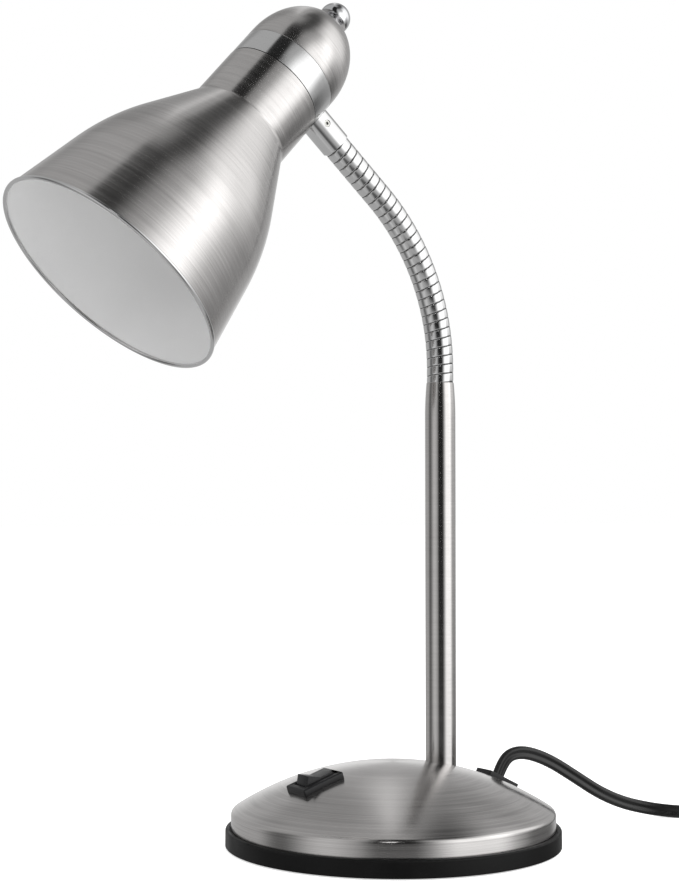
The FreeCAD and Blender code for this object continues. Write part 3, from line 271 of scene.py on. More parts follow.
def cut_with(obj, cutters):
    """Cut boxes and cylinders out of a piece and remove them."""
    for cutter in cutters:
        modifier = obj.modifiers.new("cut", "BOOLEAN")
        modifier.operation = "DIFFERENCE"
        modifier.solver = "EXACT"
        modifier.object = cutter
        apply_modifiers(obj)
        bpy.data.objects.remove(cutter)


def apply_modifiers(obj):
    graph = bpy.context.evaluated_depsgraph_get()
    mesh = bpy.data.meshes.new_from_object(obj.evaluated_get(graph))
    obj.modifiers.clear()
    old = obj.data
    obj.data = mesh
    bpy.data.meshes.remove(old)


def box_cutter(long_x, long_y, bottom, top, place):
    bm = bmesh.new()
    bmesh.ops.create_cube(bm, size=1)
    scale = Matrix.Diagonal((long_x * MM, long_y * MM, (top - bottom) * MM, 1))
    middle = Matrix.Translation(mm(0, 0, (bottom + top) / 2))
    bmesh.ops.transform(bm, matrix=place @ middle @ scale, verts=bm.verts)
    mesh = bpy.data.meshes.new("cutter")
    bm.to_mesh(mesh)
    bm.free()
    return new_object("cutter", mesh, [])


def rod_cutter(radius, bottom, top, place):
    profile = [(0, bottom), (radius, bottom), (radius, top), (0, top)]
    return lathe("cutter", profile, place, [], segments=96)


def softened_copy(node, width, materials, segments=3):
    """Copy of a CAD node with its triangles joined into flat faces and its edges rounded."""
    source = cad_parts[node]
    mesh = source.data.copy()
    mesh.materials.clear()
    obj = new_object(node + "_finished", mesh, materials)
    bm = bmesh.new()
    bm.from_mesh(mesh)
    bmesh.ops.remove_doubles(bm, verts=bm.verts, dist=1e-6)
    bmesh.ops.dissolve_limit(bm, angle_limit=math.radians(2), verts=bm.verts, edges=bm.edges)
    bm.to_mesh(mesh)
    bm.free()
    modifier = obj.modifiers.new("round", "BEVEL")
    modifier.width = width * MM
    modifier.segments = segments
    modifier.limit_method = "ANGLE"
    modifier.angle_limit = math.radians(30)
    modifier.harden_normals = False
    apply_modifiers(obj)
    shade_smooth(obj.data, 25)
    return obj


def on_dome(y):
    """Place on the dome with Z along its normal."""
    tilt = math.asin(y / DOME_R)
    height = DOME_TOP - DOME_R + DOME_R * math.cos(tilt)
    return Matrix.Translation(mm(0, y, height)) @ Matrix.Rotation(-tilt, 4, "X")


# Neck and head places

def link_tilts():
    return [HEAD_PITCH / BENT_JOINTS * min(i, BENT_JOINTS) for i in range(NECK_LINKS)]


def lean(tilt):
    return Vector((0, -math.sin(math.radians(tilt)), math.cos(math.radians(tilt))))


def link_starts():
    points = [Vector((0, POLE_Y, POLE_TOP))]
    for tilt in link_tilts():
        points.append(points[-1] + lean(tilt) * LINK_PITCH)
    return points


def head_place():
    """Z runs along the head's axis to the mouth, and -Y points back to the gooseneck."""
    turn = Matrix.Rotation(math.radians(90 + HEAD_PITCH), 4, "X")
    axis = turn @ Vector((0, 0, 1))
    on_axis = link_starts()[-1] + lean(HEAD_PITCH) * (FERRULE_LENGTH + SLEEVE_R)
    return Matrix.Translation((on_axis + axis * FERRULE_BEHIND) * MM) @ turn


HEAD = head_place()


# Material helpers

class Nodes:
    """Short way to add and link shader nodes."""

    def __init__(self, name):
        self.material = bpy.data.materials.new(name)
        self.material.use_nodes = True
        self.tree = self.material.node_tree
        self.tree.nodes.clear()
        self.output = self.tree.nodes.new("ShaderNodeOutputMaterial")

    def add(self, kind, **values):
        node = self.tree.nodes.new("ShaderNode" + kind)
        for key, value in values.items():
            setattr(node, key, value)
        return node

    def link(self, source, target):
        self.tree.links.new(source, target)

    def math(self, operation, a, b=0.0, c=0.0):
        node = self.add("Math", operation=operation)
        for socket, value in zip(node.inputs, (a, b, c)):
            self.feed(value, socket)
        return node.outputs[0]

    def vector(self, operation, a, b=(0, 0, 0)):
        node = self.add("VectorMath", operation=operation)
        self.feed(a, node.inputs[0])
        self.feed(b, node.inputs[1])
        return node.outputs["Value"] if operation in ("DOT_PRODUCT", "LENGTH") else node.outputs[0]

    def feed(self, value, socket):
        if isinstance(value, bpy.types.NodeSocket):
            self.link(value, socket)
        else:
            socket.default_value = value

    def combine(self, x, y, z=0.0):
        node = self.add("CombineXYZ")
        for socket, value in zip(node.inputs, (x, y, z)):
            self.feed(value, socket)
        return node.outputs[0]

    def noise(self, vector, scale, detail=2.0, roughness=0.5):
        node = self.add("TexNoise")
        self.link(vector, node.inputs["Vector"])
        node.inputs["Scale"].default_value = scale
        node.inputs["Detail"].default_value = detail
        node.inputs["Roughness"].default_value = roughness
        return node.outputs["Fac"]

    def spread(self, value, low, high, from_low=0.0, from_high=1.0, smooth=False):
        node = self.add("MapRange", clamp=True)
        if smooth:
            node.interpolation_type = "SMOOTHSTEP"
        self.link(value, node.inputs["Value"])
        node.inputs["From Min"].default_value = from_low
        node.inputs["From Max"].default_value = from_high
        node.inputs["To Min"].default_value = low
        node.inputs["To Max"].default_value = high
        return node.outputs["Result"]

    def mix(self, factor, a, b):
        node = self.add("Mix", data_type="RGBA")
        self.feed(factor, node.inputs[0])
        self.feed(a, node.inputs[6])
        self.feed(b, node.inputs[7])
        return node.outputs[2]

    def place(self):
        return self.add("TexCoord").outputs["Object"]

    def bump(self, height, distance, strength=1.0):
        node = self.add("Bump")
        node.inputs["Distance"].default_value = distance
        node.inputs["Strength"].default_value = strength
        self.link(height, node.inputs["Height"])
        return node.outputs["Normal"]

    def principled(self, **values):
        node = self.add("BsdfPrincipled")
        for key, value in values.items():
            self.feed(value, node.inputs[key.replace("_", " ")])
        self.link(node.outputs["BSDF"], self.output.inputs["Surface"])
        return node


def rgba(r, g, b):
    return (r, g, b, 1.0)


def around(nodes, centre, axis):
    """Distance along and out from an axis, angle round it, and the direction across a turned finish."""
    offset = nodes.vector("SUBTRACT", nodes.place(), tuple(centre))
    along = nodes.vector("DOT_PRODUCT", offset, tuple(axis))
    side = axis.orthogonal().normalized()
    other = axis.cross(side)
    a = nodes.vector("DOT_PRODUCT", offset, tuple(side))
    b = nodes.vector("DOT_PRODUCT", offset, tuple(other))
    out = nodes.math("SQRT", nodes.math("ADD", nodes.math("MULTIPLY", a, a), nodes.math("MULTIPLY", b, b)))
    angle = nodes.math("ARCTAN2", b, a)
    turn = nodes.add("VectorTransform", vector_type="VECTOR", convert_from="OBJECT", convert_to="WORLD")
    nodes.link(nodes.vector("CROSS_PRODUCT", tuple(axis), offset), turn.inputs[0])
    normal = nodes.add("NewGeometry").outputs["Normal"]
    across = nodes.vector("NORMALIZE", nodes.vector("CROSS_PRODUCT", normal, turn.outputs[0]))
    return along, out, angle, across


def brushed_metal(name, colour, roughness, centre, axis, anisotropic=0.7, brush=1.0):
    """Metal with fine lines that run round an axis."""
    nodes = Nodes(name)
    along, out, angle, across = around(nodes, centre, axis)
    run = nodes.math("ADD", along, out)
    soft_angle = nodes.math("SINE", angle)
    fine = nodes.noise(nodes.combine(nodes.math("MULTIPLY", run, 4200), soft_angle), 1.0, 3.0)
    wide = nodes.combine(nodes.math("MULTIPLY", run, 700), nodes.math("MULTIPLY", soft_angle, 1.6))
    broad = nodes.noise(wide, 1.0)
    cloud = nodes.noise(nodes.place(), 38.0, 2.0)
    lines = nodes.math("ADD", nodes.math("MULTIPLY", fine, 0.6), nodes.math("MULTIPLY", broad, 0.4))
    tone = nodes.spread(lines, 1 - 0.22 * brush, 1 + 0.14 * brush, 0.3, 0.7)
    tone = nodes.math("MULTIPLY", tone, nodes.spread(cloud, 0.97, 1.03, 0.3, 0.7))
    base = nodes.vector("MULTIPLY", nodes.combine(*colour), nodes.combine(tone, tone, tone))
    rough = nodes.spread(lines, roughness - 0.05 * brush, roughness + 0.07 * brush, 0.3, 0.7)
    nodes.principled(Base_Color=base, Metallic=1.0, Roughness=rough, Anisotropic=anisotropic, Tangent=across,
                     Normal=nodes.bump(lines, 0.00001, 0.25 * brush))
    return nodes.material


def polished_metal(name, colour, roughness, wear_scale=90.0):
    """Plated metal with faint smears and hairline scratches."""
    nodes = Nodes(name)
    place = nodes.place()
    smear = nodes.noise(place, wear_scale, 3.0)
    hair = nodes.noise(nodes.vector("MULTIPLY", place, (900, 120, 5200)), 1.0, 2.0)
    tone = nodes.spread(smear, 0.96, 1.02, 0.35, 0.65)
    base = nodes.vector("MULTIPLY", nodes.combine(*colour), nodes.combine(tone, tone, tone))
    rough = nodes.math("ADD", nodes.spread(smear, roughness, roughness + 0.04, 0.35, 0.7),
                       nodes.spread(hair, 0.0, 0.04, 0.6, 0.8))
    nodes.principled(Base_Color=base, Metallic=1.0, Roughness=rough, Normal=nodes.bump(hair, 0.000004, 0.3))
    return nodes.material


def neck_metal(name):
    """Polished wound strip, with painted shade and some grime darkening the grooves. The mesh carries the
    place across a rib.
    """
    nodes = Nodes(name)
    uv = nodes.add("TexCoord").outputs["UV"]
    split = nodes.add("SeparateXYZ")
    nodes.link(uv, split.inputs[0])
    across = split.outputs["Y"]
    groove = nodes.spread(nodes.math("ABSOLUTE", nodes.math("SUBTRACT", nodes.math("FRACT", across), 0.5)),
                          0.0, 1.0, 0.43, 0.49, smooth=True)
    smear = nodes.noise(nodes.place(), 220.0, 3.0)
    # The grooves are painted near black: painted shade in the crevices between the ribs, with some grime.
    colour = nodes.mix(groove, rgba(0.70, 0.70, 0.70), rgba(0.05, 0.05, 0.05))
    rough = nodes.math("ADD", nodes.spread(groove, 0.13, 0.5), nodes.spread(smear, 0.0, 0.06, 0.4, 0.7))
    nodes.principled(Base_Color=colour, Metallic=1.0, Roughness=rough,
                     Normal=nodes.bump(smear, 0.000008, 0.3))
    return nodes.material


def moulded_plastic(name, colour, roughness, grain=2600.0, depth=0.00001, shine=0.4):
    """Plastic with a fine moulded grain and slight gloss changes."""
    nodes = Nodes(name)
    place = nodes.place()
    fine = nodes.noise(place, grain, 2.0)
    smear = nodes.noise(place, 70.0, 3.0)
    tone = nodes.spread(smear, 0.85, 1.2, 0.35, 0.65)
    base = nodes.vector("MULTIPLY", nodes.combine(*colour), nodes.combine(tone, tone, tone))
    rough = nodes.math("ADD", nodes.spread(smear, roughness - 0.04, roughness + 0.06, 0.35, 0.65),
                       nodes.spread(fine, -0.03, 0.03, 0.35, 0.65))
    nodes.principled(Base_Color=base, Roughness=rough, Specular_IOR_Level=shine,
                     Normal=nodes.bump(fine, depth, 0.6))
    return nodes.material


def powder_coat(name, colour, roughness):
    """Sprayed white with a faint orange-peel surface."""
    nodes = Nodes(name)
    place = nodes.place()
    peel = nodes.noise(place, 900.0, 2.0)
    cloud = nodes.noise(place, 25.0, 2.0)
    tone = nodes.spread(cloud, 0.975, 1.01, 0.35, 0.65)
    base = nodes.vector("MULTIPLY", nodes.combine(*colour), nodes.combine(tone, tone, tone))
    rough = nodes.spread(peel, roughness - 0.04, roughness + 0.05, 0.3, 0.7)
    nodes.principled(Base_Color=base, Roughness=rough, Normal=nodes.bump(peel, 0.00002, 0.4))
    return nodes.material


def rough_cast(name, colour):
    nodes = Nodes(name)
    place = nodes.place()
    pits = nodes.noise(place, 420.0, 6.0, 0.65)
    tone = nodes.spread(pits, 0.7, 1.25, 0.3, 0.7)
    base = nodes.vector("MULTIPLY", nodes.combine(*colour), nodes.combine(tone, tone, tone))
    nodes.principled(Base_Color=base, Metallic=0.6, Roughness=nodes.spread(pits, 0.75, 0.5, 0.3, 0.7),
                     Normal=nodes.bump(pits, 0.0002, 0.7))
    return nodes.material


HEAD_AXIS = (HEAD.to_3x3() @ Vector((0, 0, 1))).normalized()
HEAD_CENTRE = HEAD.translation
UP = Vector((0, 0, 1))
POLE_CENTRE = mm(0, POLE_Y, 0)
NICKEL = (0.60, 0.585, 0.575)

HEAD_NICKEL = brushed_metal("brushed_nickel_head", NICKEL, 0.21, HEAD_CENTRE, HEAD_AXIS, 0.6)
DOME_NICKEL = brushed_metal("brushed_nickel_dome", NICKEL, 0.19, Vector((0, 0, 0)), UP, 0.7)
POLE_NICKEL = brushed_metal("brushed_nickel_pole", NICKEL, 0.16, POLE_CENTRE, UP, 0.6, 0.5)
BAND_METAL = brushed_metal("polished_band_metal", (0.68, 0.68, 0.68), 0.15, HEAD_CENTRE, HEAD_AXIS, 0.6, 0.2)
CHROME = polished_metal("chrome", (0.74, 0.74, 0.75), 0.05)
SATIN_CHROME = polished_metal("ferrule_chrome", (0.72, 0.72, 0.72), 0.08)
NECK_METAL = neck_metal("wound_neck")
ZINC = polished_metal("zinc_plate", (0.58, 0.58, 0.55), 0.32, 300.0)
BRASS = polished_metal("brass", (0.76, 0.60, 0.30), 0.22, 200.0)
BLACK_RING = moulded_plastic("black_ring", (0.005, 0.005, 0.005), 0.45, shine=0.15)
BLACK_SWITCH = moulded_plastic("black_switch", (0.009, 0.009, 0.01), 0.33, 3200.0, shine=0.35)
CORD_BLACK = moulded_plastic("cord_black", (0.006, 0.006, 0.006), 0.3, 1800.0, shine=0.5)
# Near-black stand-in for the shade inside the seams beside the band: a painted shadow, not a real part.
SHADOW_GAP = moulded_plastic("seam_painted_shadow", (0.01, 0.01, 0.01), 0.6)
WHITE_INSIDE = powder_coat("white_inside", (0.82, 0.82, 0.82), 0.6)
PHENOLIC = moulded_plastic("phenolic", (0.03, 0.02, 0.015), 0.4)
FOAM = moulded_plastic("foam_pad", (0.03, 0.03, 0.03), 0.85, 900.0, 0.0001)
SLEEVE = moulded_plastic("lead_sleeve", (0.72, 0.72, 0.70), 0.45)
IRON = rough_cast("cast_iron", (0.12, 0.12, 0.13))


# Camera

def add_camera():
    data = bpy.data.cameras.new("camera")
    data.sensor_fit = "HORIZONTAL"
    data.sensor_width = SENSOR_MM
    data.lens = FOCAL_PX * SENSOR_MM / PHOTO_WIDTH_PX
    data.clip_start = 0.01
    data.clip_end = 50
    camera = bpy.data.objects.new("camera", data)
    bpy.context.scene.collection.objects.link(camera)
    camera.location = mm(*CAMERA_PLACE)
    camera.rotation_euler = (math.radians(90 + CAMERA_LOOKS_UP), 0, math.radians(CAMERA_AZIMUTH))
    bpy.context.scene.camera = camera


# Cord

def ease(start, span, t):
    share = min(max((t - start) / span, 0), 1)
    return share ** 2 * (3 - 2 * share)


def coil_point(turns):
    """Point on the coil: in on the lower layer, out on the upper, then out to the plug."""
    middle = COIL_TURNS / 2
    axis_z = CORD_R + CORD_LIFT
    layer = 2 * CORD_R + COIL_LAYER_GAP
    radius = COIL_R - COIL_STEP * max(middle - abs(turns - middle), 0)
    radius += (PLUG_WIDE / 2 + CORD_R + COIL_LAYER_GAP) * ease(COIL_TURNS, 0.5, turns)
    height = axis_z + layer * ease(middle - 0.25, 0.5, turns)
    height += (PLUG_HIGH / 2 + CORD_LIFT - axis_z - layer) * ease(COIL_TURNS, 0.5, turns)
    angle = 2 * math.pi * turns - math.pi / 2
    return Vector((COIL_X + radius * math.cos(angle), COIL_Y + radius * math.sin(angle), height))


def cord_controls():
    """Route of the whole cord in millimetres, from the bushing to the plug."""
    ground = CORD_R + CORD_LIFT
    exit_place = on_dome(BUSHING_Y)
    points = [exit_place @ mm(0, 0, BUSHING_TOP + lift) / MM for lift in (0, CORD_RISE)]
    points += [Vector(p) for p in CORD_BENDS]
    points += [Vector((x, y, ground)) for x, y in CORD_TABLE_BENDS]
    points.append(Vector((COIL_X - 2 * CORD_R, COIL_Y - COIL_R, ground)))
    steps = int(COIL_POINTS_PER_TURN * (COIL_TURNS + 0.5))
    points += [coil_point(i / COIL_POINTS_PER_TURN) for i in range(steps + 1)]
    points.append(points[-1] + Vector((-2 * CORD_R, 0, 0)))
    return points


def spline_points(controls, resolution):
    """Points along the smooth NURBS line of the controls, in metres."""
    curve = bpy.data.curves.new("cord_line", "CURVE")
    curve.dimensions = "3D"
    curve.resolution_u = resolution
    spline = curve.splines.new("NURBS")
    spline.points.add(len(controls) - 1)
    for point, place in zip(spline.points, controls):
        point.co = (*(place * MM), 1)
    spline.order_u = 3
    spline.use_endpoint_u = True
    holder = bpy.data.objects.new("cord_line", curve)
    bpy.context.scene.collection.objects.link(holder)
    line = bpy.data.meshes.new_from_object(holder)
    points = [v.co.copy() for v in line.vertices]
    bpy.data.objects.remove(holder)
    bpy.data.curves.remove(curve)
    bpy.data.meshes.remove(line)
    return points


def twin_section():
    """Outline of a flat twin lead as (across, thickness) points: two round lobes and a groove between."""
    offset = CORD_R - TWIN_R
    points = []
    for side in (1, -1):
        for k in range(TWIN_SIDES):
            turn = math.radians(-140 + 280 * k / (TWIN_SIDES - 1))
            points.append((side * (offset + TWIN_R * math.cos(turn)), side * TWIN_R * math.sin(turn)))
    return points


def add_cord():
    """Flat twin lead that stands on edge, with its wide side upright."""
    path = spline_points(cord_controls(), 6)
    section = twin_section()
    bm = bmesh.new()
    rings = []
    for i, here in enumerate(path):
        along = (path[min(i + 1, len(path) - 1)] - path[max(i - 1, 0)]).normalized()
        flat = along.cross(UP).normalized()
        across = flat.cross(along)
        rings.append([bm.verts.new(here + across * w * MM + flat * t * MM) for w, t in section])
    count = len(section)
    for a, b in zip(rings, rings[1:]):
        for j in range(count):
            k = (j + 1) % count
            bm.faces.new((a[j], a[k], b[k], b[j]))
    bm.faces.new(rings[0])
    bm.faces.new(rings[-1])
    bmesh.ops.recalc_face_normals(bm, faces=bm.faces)
    mesh = bpy.data.meshes.new("mains_cord")
    bm.to_mesh(mesh)
    bm.free()
    shade_smooth(mesh, 50)
    cord = new_object("mains_cord", mesh, [CORD_BLACK])
    finish_piece(cord, "base", ["cord_lead", "cord_coil"])
    length = sum((b - a).length for a, b in zip(path, path[1:]))
    return cord, path, length


# Gooseneck

def neck_centre(i, share):
    """Point and lean on the neck's smooth centreline, from the middle of link i to the middle of the next."""
    starts = link_starts()
    tilts = link_tilts()
    joint = starts[i + 1]
    bend = math.radians(tilts[i + 1] - tilts[i])
    if abs(bend) < 1e-6:
        return joint + lean(tilts[i]) * LINK_PITCH * (share - 0.5), tilts[i]
    radius = LINK_PITCH / 2 / math.tan(bend / 2)
    begin = joint - lean(tilts[i]) * LINK_PITCH / 2
    inward = lean(tilts[i] + 90)
    centre = begin + inward * radius
    tilt = tilts[i] + math.degrees(bend) * share
    return centre - lean(tilt + 90) * radius, tilt


def rib_radius(phase):
    """Outside radius at a place across a rib: a slight crown between sharp grooves."""
    edge = abs(2 * (phase % 1) - 1)
    return RIB_R - RIB_CROWN * edge ** 2 - (RIB_GROOVE - RIB_CROWN) * edge ** RIB_GROOVE_POWER


def neck_piece(name, stations):
    """Helically ribbed tube through stations of (centre, lean, length along the neck)."""
    bm = bmesh.new()
    uv = bm.loops.layers.uv.new("UVMap")
    rings = []
    for centre, tilt, travel in stations:
        along = lean(tilt)
        side = Vector((1, 0, 0))
        front = along.cross(side)
        ring = []
        for j in range(NECK_SIDES):
            turn = 2 * math.pi * j / NECK_SIDES
            radius = rib_radius(travel / RIB_PITCH - j / NECK_SIDES)
            out = side * math.cos(turn) + front * math.sin(turn)
            ring.append(bm.verts.new((centre + out * radius) * MM))
        rings.append(ring)
    for i in range(len(rings) - 1):
        for j in range(NECK_SIDES):
            k = (j + 1) % NECK_SIDES
            face = bm.faces.new((rings[i][j], rings[i][k], rings[i + 1][k], rings[i + 1][j]))
            corners = [(j, i), (j + 1, i), (j + 1, i + 1), (j, i + 1)]
            for loop, (side_step, station) in zip(face.loops, corners):
                share = side_step / NECK_SIDES
                loop[uv].uv = (share, stations[station][2] / RIB_PITCH - share)
    bmesh.ops.recalc_face_normals(bm, faces=bm.faces)
    mesh = bpy.data.meshes.new(name)
    bm.to_mesh(mesh)
    bm.free()
    shade_smooth(mesh, 60)
    return new_object(name, mesh, [NECK_METAL])


def neck_bodies():
    return ["base"] + ["neck_%02d" % i for i in range(2, NECK_LINKS)] + ["head"]


def add_neck():
    """Half a link on the pole, one bending piece across each joint, and half a link at the ferrule."""
    steps = 3 * RIB_STEPS
    bodies = neck_bodies()
    starts = link_starts()
    tilts = link_tilts()
    half = LINK_PITCH / 2
    low = [(starts[0] + lean(tilts[0]) * half * k / (steps // 2), tilts[0], half * k / (steps // 2))
           for k in range(steps // 2 + 1)]
    piece = neck_piece("neck_foot", low)
    finish_piece(piece, bodies[0], ["gooseneck_link_01"])
    travel = half
    for i in range(NECK_LINKS - 1):
        stations = []
        for k in range(steps + 1):
            centre, tilt = neck_centre(i, k / steps)
            stations.append((centre, tilt, travel + LINK_PITCH * k / steps))
        travel += LINK_PITCH
        piece = neck_piece("neck_bend_%02d" % (i + 1), stations)
        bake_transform(piece)
        if i < NECK_LINKS - 2:
            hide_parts("gooseneck_link_%02d" % (i + 2))
    last = starts[-1] - lean(tilts[-1]) * half
    high = [(last + lean(tilts[-1]) * half * k / (steps // 2), tilts[-1], travel + half * k / (steps // 2))
            for k in range(steps // 2 + 1)]
    piece = neck_piece("neck_top", high)
    finish_piece(piece, bodies[-1], ["gooseneck_link_%02d" % NECK_LINKS])


# Head

def shade_corners(inset):
    """Corners of the shade's outside moved in by inset, from the sleeve's back edge to the mouth."""
    cone = math.tan(math.radians(CONE_SLOPE))
    skirt = math.tan(math.radians(SKIRT_SLOPE))
    start_z = SLEEVE_LENGTH + inset * math.tan(math.radians(CONE_SLOPE) / 2)
    start_r = SLEEVE_R - inset
    end_r = MOUTH_R - inset / math.cos(math.radians(SKIRT_SLOPE))
    corner_z = (end_r - start_r - SHADE_LENGTH * skirt + start_z * cone) / (cone - skirt)
    corner_r = start_r + (corner_z - start_z) * cone
    bend = SHADE_BEND_R - inset
    return [(start_r, start_z, SLEEVE_CREASE_R + inset), (corner_r, corner_z, bend), (end_r, SHADE_LENGTH, 0)]


def add_shade():
    """Spun bell: brushed outside, white inside and a rolled bead round the mouth."""
    edge = (SLEEVE_R - SEAM_DEPTH, SEAM_GAP, 0)
    outside = rounded([edge, (SLEEVE_R, SEAM_GAP, SEAM_ROUND)] + shade_corners(0), 24)
    inside = rounded([edge] + shade_corners(SHEET), 24)
    profile = outside + inside[::-1] + [outside[0]]
    turn_in = len(outside)
    shade = lathe("shade_bell", profile, HEAD, [HEAD_NICKEL, WHITE_INSIDE], 320,
                  lambda i: 1 if turn_in <= i < len(profile) - 2 else 0)
    finish_piece(shade, "head", ["shade"])
    ring_r = MOUTH_R - SHEET / 2
    ring_z = SHADE_LENGTH - RIM_BEAD_R / 2
    steps = 20
    turns = [2 * math.pi * k / steps for k in range(steps + 1)]
    bead = [(ring_r + RIM_BEAD_R * math.cos(t), ring_z + RIM_BEAD_R * math.sin(t)) for t in turns]
    finish_piece(lathe("shade_rim_bead", bead, HEAD, [BAND_METAL], 320), "head")


def add_band():
    """Polished ring with eased edges, and a near-black sheet under the seam at each side that paints the
    seam's shadow.
    """
    back = -BAND_LENGTH
    recess = BAND_R - SHEET
    profile = rounded([(recess, back + 0.02, 0), (recess, back, 0), (BAND_R, back, SEAM_ROUND * 0.6),
                       (BAND_R, 0, SEAM_ROUND), (recess, 0, 0), (recess, -0.02, 0)], 6)
    band = lathe("band_ring", profile + [profile[0]], HEAD, [BAND_METAL], 256)
    finish_piece(band, "head")
    # Painted shadow: a near-black sheet under both seams stands in for the shade in the gaps.
    gap = [(recess - 0.1, back - 1.0), (recess + 0.1, back - 1.0), (recess + 0.1, 1.0), (recess - 0.1, 1.0)]
    dark = lathe("band_seam_shadows", gap + [gap[0]], HEAD, [SHADOW_GAP], 256)
    finish_piece(dark, "head")


def add_cap():
    """Straight skirt and half ellipse, in one sheet."""
    shoulder = -(BAND_LENGTH + CAP_STRAIGHT)
    base = -BAND_LENGTH - 0.15
    steps = 48

    def curve(inset):
        turns = [math.pi / 2 * k / steps for k in range(steps + 1)]
        radius = BAND_R - inset
        height = CAP_HEIGHT - inset
        return [(radius * math.cos(t), shoulder - height * math.sin(t)) for t in turns]

    rim = rounded([(BAND_R - SEAM_ROUND, base, 0), (BAND_R, base, SEAM_ROUND * 0.6),
                   (BAND_R, shoulder, 0)], 6)
    outer = curve(0)
    outer[-1] = (0, outer[-1][1])
    inner = curve(SHEET)
    inner[-1] = (0, inner[-1][1])
    profile = [tuple(p) for p in rim[:-1]] + outer + inner[::-1] + [(BAND_R - SHEET, base)]
    cap = lathe("cap_shell", profile + [profile[0]], HEAD, [HEAD_NICKEL], 256)
    finish_piece(cap, "head", ["cap_dome"])


def add_finial():
    """Chrome ball with a small flat foot on a waisted collar."""
    top = -(BAND_LENGTH + CAP_STRAIGHT + CAP_HEIGHT)
    seat = top - FINIAL_COLLAR
    centre = seat - FINIAL_FLAT
    start = math.asin(FINIAL_FLAT / FINIAL_R)
    steps = 40
    turns = [start - (start + math.pi / 2) * k / steps for k in range(steps + 1)]
    ball = [(FINIAL_R * math.cos(t), centre + FINIAL_R * math.sin(t)) for t in turns]
    ball[-1] = (0, centre - FINIAL_R)
    foot = rounded([(0, top + 0.3, 0), (FINIAL_COLLAR_R, top + 0.3, 0.2), (FINIAL_COLLAR_R, top - 0.6, 0.5),
                    (FINIAL_COLLAR_R - 1.0, top - 1.2, 0.3), (FINIAL_COLLAR_R - 0.7, seat, 0.2),
                    (ball[0][0], seat, 0)], 5)
    profile = [tuple(p) for p in foot[:-1]] + ball
    finish_piece(lathe("finial_knob", profile, HEAD, [CHROME], 160), "head", ["finial_ball"])


# Base

def add_cover():
    """Domed cover with its openings for the pole, the switch and the bushing."""
    centre_z = DOME_TOP - DOME_R

    def dome(inset):
        sphere = DOME_R - inset
        edge = COVER_EDGE_R - inset
        centre_r = COVER_R - inset - edge
        edge_z = centre_z + math.sqrt((sphere - edge) ** 2 - centre_r ** 2)
        slope = math.atan2(centre_r, edge_z - centre_z)
        arc = [(centre_r + edge * math.cos(t), edge_z + edge * math.sin(t))
               for t in [(math.pi / 2 - slope) * k / 12 for k in range(13)]]
        steps = 90
        falls = [slope * (1 - k / steps) for k in range(1, steps + 1)]
        top = [(sphere * math.sin(t), centre_z + sphere * math.cos(t)) for t in falls]
        top[-1] = (0, centre_z + sphere)
        return [(COVER_R - inset, COVER_FOOT), (COVER_R - inset, TRAY_TOP)] + arc + top

    profile = dome(0) + dome(COVER_WALL)[::-1]
    cover = lathe("cover_dome", profile + [profile[0]], Matrix.Identity(4), [DOME_NICKEL], 360)
    pole = Matrix.Translation(mm(0, POLE_Y, 0))
    cut_with(cover, [rod_cutter(POLE_R + 0.15, 20, DOME_TOP + 5, pole),
                     box_cutter(*HOUSING_SLOT, -3, 3, on_dome(SWITCH_Y)),
                     box_cutter(*BUSHING_SLOT, -3, 3, on_dome(BUSHING_Y))])
    shade_smooth(cover.data)
    finish_piece(cover, "base", ["base_cover"])


def add_ring():
    """Visible outside of the foot tray, with a rounded shoulder."""
    inner = TRAY_R - 12
    profile = rounded([(inner, TRAY_BOTTOM, 0), (TRAY_R, TRAY_BOTTOM, 0.5), (TRAY_R, TRAY_TOP, TRAY_EDGE_R),
                       (TRAY_LIP, TRAY_TOP, 0.25), (TRAY_LIP, TRAY_TOP - TRAY_STEP, 0),
                       (inner, TRAY_TOP - TRAY_STEP, 0)], 10)
    ring = lathe("foot_ring", profile + [profile[0]], Matrix.Identity(4), [BLACK_RING], 320)
    finish_piece(ring, "base")


def add_pole():
    """Tube with a drawn-in top and an eased rim."""
    wall = 1.0
    shoulder = POLE_TOP - POLE_CRIMP
    steps = 12
    crimp = []
    for k in range(steps + 1):
        share = k / steps
        ease_in = share ** 2
        crimp.append((POLE_R - (POLE_R - POLE_TOP_R) * ease_in, shoulder + (POLE_CRIMP - POLE_RIM) * share))
    rim = [(POLE_TOP_R - POLE_RIM * (1 - math.cos(t)), POLE_TOP - POLE_RIM + POLE_RIM * math.sin(t))
           for t in [math.pi / 2 * k / 6 for k in range(1, 7)]]
    profile = [(POLE_R - wall, POLE_FOOT), (POLE_R, POLE_FOOT)] + crimp + rim
    profile += [(POLE_TOP_R - wall, POLE_TOP), (POLE_R - wall, shoulder)]
    place = Matrix.Translation(mm(0, POLE_Y, 0))
    pole = lathe("pole_body", profile + [profile[0]], place, [POLE_NICKEL], 128)
    finish_piece(pole, "base", ["pole_tube"])


def add_switch():
    housing = softened_copy("switch_housing", 0.15, [BLACK_SWITCH], 2)
    finish_piece(housing, "base", ["switch_housing"])
    rocker = softened_copy("switch_rocker", 0.22, [BLACK_SWITCH], 3)
    finish_piece(rocker, "rocker", ["switch_rocker"])


def add_bushing():
    bushing = softened_copy("cord_bushing", 0.35, [BLACK_SWITCH], 3)
    finish_piece(bushing, "base", ["cord_bushing"])


